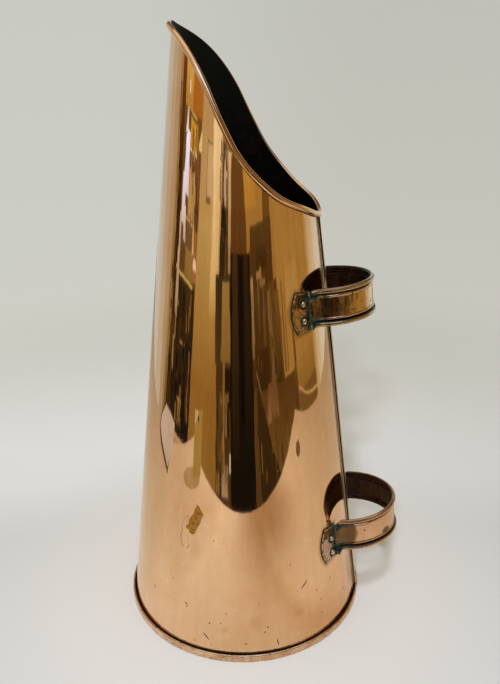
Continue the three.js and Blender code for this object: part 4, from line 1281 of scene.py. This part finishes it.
# What the polished sides mirror: boards that stand round the camera and show in reflections alone. Later
# ones are nearer, within the depth of the stack. Each has the left side, right side and height of its foot,
# the same of its top, and the tone that the copper shows at its foot and at its top. Sides are in degrees
# from the camera, to the right.
BOARD_RADIUS = 2.2
BOARD_DEPTH = 0.2
LINE_GAP = 0.01
LEFT_BOARDS = (
    ((-180, -128, -0.75), (-180, -128, 1.3), (200, 177, 144), (182, 152, 118)),
    ((-128, -115, -0.75), (-128, -115, 1.3), (190, 162, 126), (180, 148, 112)),
    ((-115, -104, -0.75), (-115, -102, 1.3), (172, 138, 96), (178, 142, 102)),
    ((-108, -103, -0.75), (-106, -101, 0.2), (130, 94, 46), (172, 132, 84)),
    ((-104, -86, -0.75), (-104, -88, -0.2), (107, 71, 31), (120, 84, 40)),
    ((-104, -90, -0.2), (-103, -88, 1.3), (134, 99, 50), (168, 124, 72)),
    ((-104, -98, -0.45), (-104, -97, -0.2), (107, 71, 31), (130, 94, 48)),
    ((-98, -86, 0.2), (-96, -86, 0.62), (66, 42, 18), (58, 34, 12)),
    ((-96, -86, 0.62), (-97, -86, 1.3), (62, 36, 12), (118, 68, 20)),
    ((-100.5, -60, -0.45), (-97.5, -58, 0.22), (36, 24, 12), (56, 36, 14)),
    ((-90, -56, 0.22), (-88, -54, 1.3), (96, 64, 28), (120, 76, 34)),
    ((-87, -72, 0.88), (-87, -72, 1.3), (200, 145, 62), (210, 160, 80)),
    ((-72, -50, 0.9), (-72, -50, 1.3), (168, 98, 30), (176, 112, 44)),
    ((-81, -78, 0.94), (-81, -78.5, 0.99), (235, 225, 200), (235, 225, 200)),
    ((-74, -63, 0.865), (-74, -63, 0.88), (90, 56, 24), (90, 56, 24)),
    ((-74, -63, 0.88), (-74, -63, 0.893), (206, 160, 90), (206, 160, 90)),
    ((-75, -60, 0.75), (-75, -60, 0.865), (196, 132, 30), (206, 146, 44)),
    ((-71, -66, 0.76), (-71, -66, 0.85), (226, 168, 40), (224, 164, 46)),
    ((-61, -54, 0.775), (-55, -52, 0.865), (236, 196, 120), (226, 180, 100)),
    ((-75, -62, 0.735), (-75, -62, 0.747), (230, 200, 150), (230, 200, 150)),
    ((-75, -66, 0.67), (-75, -66, 0.735), (104, 66, 38), (116, 74, 42)),
    ((-66, -56, 0.45), (-66, -56, 0.735), (100, 64, 34), (112, 72, 40)),
    ((-75, -65, 0.475), (-75, -65, 0.67), (178, 132, 72), (186, 142, 84)),
    ((-78, -65, 0.457), (-78, -65, 0.467), (206, 162, 100), (206, 162, 100)),
    ((-76, -65, 0.355), (-76, -65, 0.455), (104, 74, 42), (112, 80, 48)),
    ((-77, -64, 0.24), (-77, -64, 0.355), (136, 98, 42), (146, 106, 50)),
    ((-65, -58, 0.25), (-65, -57, 0.45), (150, 96, 46), (140, 90, 44)),
    ((-64, -59, 0.3), (-64, -59.5, 0.34), (236, 190, 140), (230, 180, 130)),
    ((-95, -64, 0.218), (-95, -64, 0.232), (204, 160, 84), (204, 160, 84)),
    ((-85, -75, 0.55), (-82, -75.5, 0.8), (226, 206, 214), (246, 232, 246)),
    ((-87, -81, 0.42), (-86, -80, 0.62), (206, 186, 176), (236, 220, 222)),
    ((-82, -77.5, 0.36), (-83, -79, 0.5), (200, 160, 130), (226, 196, 176)),
    ((-91.5, -87, 0.03), (-90, -86, 0.45), (170, 128, 90), (206, 172, 140)),
    ((-84, -79, 0.78), (-83, -80, 0.88), (240, 226, 230), (214, 180, 140)),
    ((-81, -68, -0.045), (-81, -68, -0.033), (172, 112, 52), (172, 112, 52)),
    ((-83.5, -74, -0.4), (-83.5, -74, -0.3), (126, 88, 40), (134, 94, 44)),
    ((-84, -73.5, -0.3), (-84, -73.5, -0.285), (176, 126, 66), (176, 126, 66)),
    ((-73, -64.5, -0.45), (-73, -62, -0.02), (28, 20, 14), (34, 24, 18)),
    ((-66, -29, -0.75), (-62, -30, -0.15), (134, 90, 34), (142, 94, 36)),
    ((-62, -30, -0.15), (-60, -30, 0.15), (142, 94, 36), (166, 120, 54)),
    ((-60, -30, 0.15), (-57, -31, 0.5), (166, 120, 54), (184, 142, 78)),
    ((-57, -31, 0.5), (-50, -33, 1.3), (184, 142, 78), (184, 140, 92)),
    ((-47.5, -39.5, 0.605), (-47.5, -39.5, 0.633), (124, 88, 42), (124, 88, 42)),
    ((-44.5, -37, 0.635), (-44, -37, 0.86), (196, 154, 102), (198, 158, 108)),
    ((-45.2, -44.5, 0.635), (-44.7, -44, 0.86), (140, 98, 50), (140, 98, 50)),
    ((-44.5, -37, 0.84), (-44.5, -37, 0.852), (130, 90, 50), (130, 90, 50)),
    ((-40, -31, 0.12), (-38.5, -30, 0.3), (160, 112, 50), (204, 160, 92)),
    ((-38.5, -30, 0.3), (-36.5, -26.5, 0.55), (204, 160, 92), (216, 172, 106)),
    ((-36.5, -26.5, 0.55), (-35.5, -22, 0.95), (216, 172, 106), (240, 198, 140)),
    ((-35, -31.5, 0.35), (-34.5, -30.5, 0.95), (212, 168, 102), (246, 206, 150)),
)
CENTRE_BOARDS = (
    ((-30, -12, -0.75), (-30, -12, -0.02), (66, 42, 14), (76, 48, 16)),
    ((-31.5, -12, -0.02), (-31, -12, 0.35), (74, 50, 20), (58, 40, 18)),
    ((-27, -12, 0.35), (-24, -12, 0.62), (52, 36, 16), (44, 28, 12)),
    ((-23, -12, 0.62), (-21.5, -12, 0.9), (110, 74, 44), (150, 104, 62)),
    ((-19.5, -15.5, 0.62), (-19, -15, 0.84), (196, 156, 116), (200, 160, 120)),
    ((-16, -12.5, 0.36), (-13, -8, 0.84), (150, 108, 56), (214, 170, 110)),
    ((-25, -9.5, 0.0), (-22, -14, 0.33), (128, 88, 36), (150, 108, 50)),
    ((-20, -11, -0.19), (-20, -11, -0.02), (36, 22, 8), (36, 22, 8)),
    ((-22, -20, -0.5), (-21.5, -19.5, 0.0), (150, 110, 60), (130, 90, 46)),
    ((-23, -16, -0.565), (-22.5, -16, -0.43), (170, 130, 94), (130, 94, 60)),
    ((-29, -25.5, -0.56), (-28.5, -26, -0.47), (140, 104, 56), (150, 110, 64)),
    ((-15, -13.5, -0.46), (-15, -13.5, -0.38), (200, 170, 130), (200, 170, 130)),
    ((6, 50, 0.3), (4, 50, 1.1), (152, 102, 40), (176, 124, 56)),
    ((8, 24, 0.62), (7, 22, 1.0), (176, 120, 44), (190, 132, 52)),
    ((33, 43, 0.55), (33, 43, 0.8), (104, 66, 20), (110, 70, 24)),
    ((11, 44, 0.28), (14, 43, 0.55), (76, 46, 14), (86, 54, 20)),
    ((21, 36, 0.36), (22, 35, 0.46), (62, 38, 10), (76, 46, 18)),
    ((25.5, 28, 0.355), (25.5, 28, 0.375), (150, 114, 30), (150, 114, 30)),
    ((13, 49, -0.12), (13, 48, 0.3), (66, 38, 10), (84, 52, 18)),
    ((21, 28, 0.33), (21, 27, 0.36), (160, 116, 66), (150, 104, 56)),
    ((25, 33, 0.3), (25, 33, 0.325), (140, 100, 60), (140, 100, 60)),
    ((14, 17, 0.02), (13.5, 16, 0.34), (120, 84, 44), (160, 128, 80)),
    ((22, 24, 0.12), (21.5, 23.6, 0.33), (84, 56, 24), (112, 76, 38)),
    ((28, 31.5, 0.0), (27, 30, 0.31), (80, 54, 26), (118, 82, 42)),
    ((36, 40, -0.1), (34.5, 39, 0.27), (108, 74, 36), (124, 86, 42)),
    ((40, 45, -0.1), (40, 44, 0.3), (84, 52, 18), (100, 64, 24)),
    ((16, 34, -0.12), (17, 33, 0.05), (58, 33, 8), (64, 37, 11)),
    ((14, 70, -0.75), (13, 66, -0.12), (108, 70, 28), (92, 58, 22)),
    ((28, 42, -0.26), (31, 40, -0.1), (120, 80, 42), (108, 68, 34)),
    ((29, 33, -0.27), (30, 33, -0.15), (138, 94, 54), (120, 78, 40)),
    ((17, 50, -0.66), (16, 18, -0.04), (48, 30, 10), (62, 38, 12)),
    ((14, 24, -0.66), (14, 22, -0.1), (78, 52, 20), (88, 56, 24)),
    ((41, 42.5, -0.52), (16, 17, -0.02), (130, 92, 50), (130, 92, 50)),
)
RIGHT_BOARDS = (
    ((48, 104, -0.75), (48, 103, 1.1), (152, 104, 42), (166, 118, 54)),
    ((60, 80, 0.14), (60, 80, 0.3), (166, 120, 60), (168, 120, 56)),
    ((44, 52, -0.15), (44, 49, 0.25), (62, 38, 12), (112, 72, 26)),
    ((49, 51.5, -0.12), (50, 51.5, 0.15), (84, 52, 18), (124, 84, 36)),
    ((53.5, 55.5, -0.1), (53, 55, 0.27), (112, 74, 28), (120, 80, 32)),
    ((57, 58.5, -0.1), (56.5, 57.5, 0.22), (116, 76, 30), (130, 88, 38)),
    ((46, 68, -0.6), (44, 66, -0.12), (110, 74, 30), (84, 52, 18)),
    ((67, 70.5, -0.34), (65.5, 68, 0.05), (76, 46, 20), (112, 66, 18)),
    ((63, 72, -0.36), (64, 71, -0.2), (76, 46, 22), (88, 54, 26)),
    ((70, 104, -0.28), (68, 104, -0.1), (130, 88, 30), (152, 104, 44)),
    ((70, 106, -0.6), (69, 105, -0.24), (110, 74, 30), (112, 74, 30)),
    ((101, 105, -0.75), (100, 104, 1.3), (172, 130, 76), (172, 126, 68)),
    ((104, 109, -0.75), (104, 109, 1.3), (186, 148, 98), (178, 136, 82)),
    ((108, 115, -0.75), (108, 115, 1.3), (198, 164, 120), (184, 146, 98)),
    ((114, 122, -0.75), (114, 122, 1.3), (206, 176, 136), (190, 156, 114)),
    ((121, 180, -0.75), (121, 180, 1.3), (212, 186, 150), (194, 162, 122)),
    ((150, 180, -0.75), (150, 180, 0.5), (226, 208, 164), (206, 182, 140)),
)
# Thin lines: points of direction and height, how thick they are, and their tone
LINES = (
    (((70, -0.182), (73, -0.2), (79.3, -0.232), (88, -0.261), (98, -0.278), (106, -0.287)),
     0.012, (184, 138, 78)),
)
# Nearer than the slivers: the boards in the middle, and a bright pane high above them
MIDDLE_BOARDS = (
    ((-14, 13.5, -0.75), (-12, 12.5, 0.44), (20, 13, 6), (30, 19, 9)),
    ((-11.5, -4, -0.35), (-9, -3, 0.44), (30, 20, 9), (66, 42, 18)),
    ((4, 11.5, -0.3), (5, 10.5, 0.44), (26, 17, 8), (50, 32, 14)),
    ((-1.5, 2.5, -0.2), (-1, 2, 0.44), (16, 10, 5), (22, 14, 7)),
    ((-12, 9.5, 0.44), (-9.5, 6.5, 0.8), (92, 52, 18), (104, 64, 26)),
    ((-26, 34, 1.9), (-26, 34, 3.4), (255, 250, 246), (255, 250, 246)),
)
# Loose slivers on the darker boards: left, right, foot, top, how many, and the tones that they have
SLIVERS = (
    (-87, -62, -0.42, 0.2, 70, ((70, 44, 18), (24, 12, 5), (120, 82, 36), (50, 30, 12), (30, 17, 8))),
    (-74, -58, 0.25, 0.86, 24, ((120, 80, 34), (60, 36, 14), (176, 120, 54), (90, 54, 22), (214, 160, 90))),
    (-101, -96, -0.3, 0.9, 30, ((70, 44, 18), (150, 112, 66), (46, 28, 10), (120, 84, 44))),
    (-98, -87, -0.4, 0.6, 30, ((84, 54, 20), (30, 16, 6), (60, 38, 14), (150, 108, 60))),
    (-30, -13, -0.55, -0.1, 30, ((104, 70, 28), (34, 20, 8), (84, 56, 22), (130, 96, 52))),
    (-26, -13, 0.35, 0.85, 18, ((96, 62, 30), (36, 22, 10), (76, 48, 22), (60, 48, 44))),
    (14, 45, -0.1, 0.3, 20, ((100, 66, 28), (56, 32, 10), (76, 46, 16))),
    (15, 60, -0.6, -0.2, 24, ((100, 66, 28), (60, 38, 14), (126, 86, 44), (84, 54, 22))),
)
SLIVER_SEED = 11


def board_material():
    material, nodes = new_material("studio_board")
    tint = nodes.add("ShaderNodeAttribute", {"attribute_name": "tint"}).outputs["Color"]
    place = nodes.place()
    streaks = nodes.noise(nodes.mapped(place, scale=(1.0, 1.0, 0.22)), 7.0, 4.0, 0.6)
    strength = nodes.step(streaks, 0.3, 0.7, 0.94, 1.05)
    glow = nodes.add("ShaderNodeEmission", None, Color=tint, Strength=strength)
    nodes.add("ShaderNodeOutputMaterial", None, Surface=glow.outputs[0])
    return material


def mirrored(tone):
    """The colour of a board that copper shows as the given tone."""
    return [light / copper for light, copper in zip(srgb(*tone)[:3], COPPER)] + [1.0]


def slivers():
    random = np.random.default_rng(SLIVER_SEED)
    for left, right, foot, top, count, tones in SLIVERS:
        for _ in range(count):
            x, width = random.uniform(left, right - 2), random.uniform(0.4, 2.2)
            z, height = random.uniform(foot, top - 0.05), random.uniform(0.02, 0.2)
            lean = random.uniform(-0.8, 0.8)
            edge = min(z + height, top)
            tone = tones[random.integers(len(tones))]
            yield (x, x + width, z), (x + lean, x + width + lean, edge), tone, tone


# What lies and stands on the card. Ovals: centre, two half axes and tone. Sheets: corners and tone.
CARD_OVALS = (
    # The block's shadow on the card, painted
    ((-0.49, -0.37), (0.038, -0.1005), (0.052, 0.0275), (168, 126, 78)),
    ((0.647, -0.378), (0.05, -0.0135), (0.007, 0.03), (112, 74, 40)),
)
CARD_SHEETS = (
    ((
        (-0.89, 0.09, 0), (-0.755, 0.175, 0), (-0.655, 0.175, 0), (-0.6, 0.105, 0),
        (-0.56, 0.03, 0), (-0.515, -0.05, 0), (-0.62, -0.075, 0), (-0.69, -0.1, 0),
        (-0.77, -0.15, 0), (-0.83, -0.16, 0), (-0.88, -0.05, 0),
    ), (96, 60, 40)),
    ((
        (-0.878, 0.084, 0), (-0.75, 0.16, 0), (-0.672, 0.155, 0), (-0.625, 0.09, 0),
        (-0.585, 0.02, 0), (-0.545, -0.048, 0), (-0.615, -0.076, 0), (-0.677, -0.104, 0),
        (-0.765, -0.146, 0), (-0.82, -0.155, 0), (-0.865, -0.053, 0),
    ), (190, 156, 128)),
    ((
        (-0.488, -0.385, 0), (-0.44, -0.472, 0), (-0.44, -0.472, 0.122), (-0.488, -0.385, 0.122),
    ), (160, 118, 52)),
    ((
        (-0.486, -0.387, 0.1), (-0.442, -0.47, 0.1), (-0.442, -0.47, 0.121), (-0.486, -0.387, 0.121),
    ), (196, 156, 108)),
    ((
        (-0.47, -0.415, 0.101), (-0.456, -0.441, 0.101), (-0.458, -0.437, 0.112), (-0.466, -0.423, 0.112),
    ), (70, 44, 24)),
)
MARK_LIFT = 0.0001
OVAL_SIDES = 24


def card_faces():
    """The marks on the card, each a face with its tone, a little above the one before."""
    lift = CARD_LIFT
    turns = np.linspace(0, 2 * math.pi, OVAL_SIDES, endpoint=False)
    for centre, first, second, tone in CARD_OVALS:
        lift += MARK_LIFT
        ring = np.outer(np.cos(turns), first) + np.outer(np.sin(turns), second) + centre
        yield [(x, y, lift) for x, y in ring], tone
    for corners, tone in CARD_SHEETS:
        lift += MARK_LIFT
        yield [(x, y, z + lift) for x, y, z in corners], tone


def stand_at(radius, turn, height):
    """A point at a distance from the middle, turned in degrees from the camera to the right."""
    return radius * math.sin(math.radians(turn)), -radius * math.cos(math.radians(turn)), height


def line_faces():
    """The thin lines as faces in front of the boards, each with its tone."""
    radius = BOARD_RADIUS - BOARD_DEPTH - LINE_GAP
    for points, thickness, tone in LINES:
        for here, there in zip(points, points[1:]):
            foot = [stand_at(radius, turn, z) for turn, z in (here, there)]
            top = [stand_at(radius, turn, z + thickness) for turn, z in (there, here)]
            yield foot + top, tone


def make_boards():
    verts, faces, tints = [], [], []
    layers = [*LEFT_BOARDS, *CENTRE_BOARDS, *RIGHT_BOARDS, *slivers(), *MIDDLE_BOARDS]
    spacing = BOARD_DEPTH / len(layers)
    for layer, (foot, top, foot_tone, top_tone) in enumerate(layers):
        radius = BOARD_RADIUS - spacing * layer
        steps = max(1, int(foot[1] - foot[0]))
        for i in range(steps + 1):
            for (left, right, height), tone in ((foot, foot_tone), (top, top_tone)):
                verts.append(stand_at(radius, left + (right - left) * i / steps, height))
                tints.append(mirrored(tone))
            if i:
                last = len(verts)
                faces.append([last - 4, last - 2, last - 1, last - 3])
    for corners, tone in [*card_faces(), *line_faces()]:
        faces.append(list(range(len(verts), len(verts) + len(corners))))
        verts.extend(corners)
        tints.extend([mirrored(tone)] * len(corners))
    piece = stage_mesh("studio_boards", verts, faces, board_material(), ("glossy",))
    attribute = piece.data.attributes.new("tint", "FLOAT_COLOR", "POINT")
    attribute.data.foreach_set("color", [channel for tint in tints for channel in tint])


def make_world():
    """Warm light from all round, a pale backdrop for the camera, and a brown room for the reflections."""
    world = bpy.data.worlds.new("studio")
    bpy.context.scene.world = world
    world.use_nodes = True
    nodes = Nodes(world.node_tree)
    rays = nodes.add("ShaderNodeLightPath").outputs
    direction = nodes.add("ShaderNodeTexCoord").outputs["Generated"]
    rise = nodes.split(direction)[2]
    aside = nodes.split(nodes.mapped(direction, angle=-CAMERA_SIDE))[0]
    left = nodes.ramp(rise, (-0.48, (212, 211, 206)), (-0.28, (206, 206, 198)), (0.1, (201, 202, 194)))
    right = nodes.ramp(rise, (-0.48, (209, 210, 204)), (-0.28, (200, 198, 189)), (0.1, (192, 192, 184)))
    backdrop = nodes.mix(nodes.step(aside, -0.2, 0.2), left, right)
    walls = nodes.mix(nodes.step(aside, -0.5, -0.15), srgb(196, 178, 152), srgb(112, 86, 58))
    room = nodes.mix(nodes.step(rise, 0.78, 0.86), walls, srgb(236, 230, 218))
    room = nodes.mix(nodes.step(rise, -0.35, -0.3), srgb(90, 66, 40), room)
    lit, mirrored_room, seen = (
        nodes.add("ShaderNodeBackground", None, Color=colour, Strength=strength)
        for colour, strength in ((srgb(208, 202, 174), 0.66), (room, 1.0), (backdrop, 1.0)))
    shown = nodes.mix_shader(rays["Is Glossy Ray"], lit, mirrored_room)
    shown = nodes.mix_shader(rays["Is Camera Ray"], shown, seen)
    nodes.add("ShaderNodeOutputWorld", None, Surface=shown.outputs[0])


# Lamps: name, place, size and power
LAMPS = (
    ("near_lamp", (-0.08, -1.06, 1.84), 0.18, 14.8),
    ("middle_lamp", (-0.29, -1.72, 1.84), 0.18, 17.8),
    ("far_lamp", (-0.36, -1.79, 1.46), 0.14, 17),
)
LAMP_COLOUR = (0.85, 0.86, 1.0)
LAMP_AIM = Vector((0, 0, 0.25))


def make_lamp(name, place, size, power):
    light = bpy.data.lights.new(name, "AREA")
    light.shape, light.size, light.energy = "SQUARE", size, power
    light.color = LAMP_COLOUR
    lamp = new_object(name, light)
    lamp.location = STUDIO @ Vector(place)
    lamp.rotation_euler = (LAMP_AIM - lamp.location).to_track_quat("-Z", "Y").to_euler()
    lamp.visible_glossy = False


# Camera, fitted to the photograph: its stand, and its turn from looking level at the axis
CAMERA_DISTANCE = 0.6274
CAMERA_HEIGHT = 0.5161
CAMERA_PITCH = 0.34966
CAMERA_YAW = 0.01454
CAMERA_ROLL = 0.01335
FOCAL_PIXELS = 660
PHOTO_HEIGHT = 684
SENSOR = 36


def make_camera():
    data = bpy.data.cameras.new("camera")
    data.sensor_width = SENSOR
    data.lens = SENSOR * FOCAL_PIXELS / PHOTO_HEIGHT
    data.clip_start, data.clip_end = 0.01, 50
    camera = new_object("camera", data)
    level = math.cos(CAMERA_PITCH)
    forward = Vector((math.sin(CAMERA_YAW) * level, math.cos(CAMERA_YAW) * level, -math.sin(CAMERA_PITCH)))
    right = Vector((math.cos(CAMERA_YAW), -math.sin(CAMERA_YAW), 0))
    down = forward.cross(right)
    tilted_right = right * math.cos(CAMERA_ROLL) + down * math.sin(CAMERA_ROLL)
    tilted_down = down * math.cos(CAMERA_ROLL) - right * math.sin(CAMERA_ROLL)
    turn = Matrix((tilted_right, -tilted_down, -forward)).transposed().to_4x4()
    camera.matrix_world = STUDIO @ Matrix.Translation((0, -CAMERA_DISTANCE, CAMERA_HEIGHT)) @ turn
    bpy.context.scene.camera = camera


make_camera()
dress()
make_floor()
make_boards()
make_world()
for lamp in LAMPS:
    make_lamp(*lamp)
bpy.context.scene.view_settings.view_transform = "Standard"
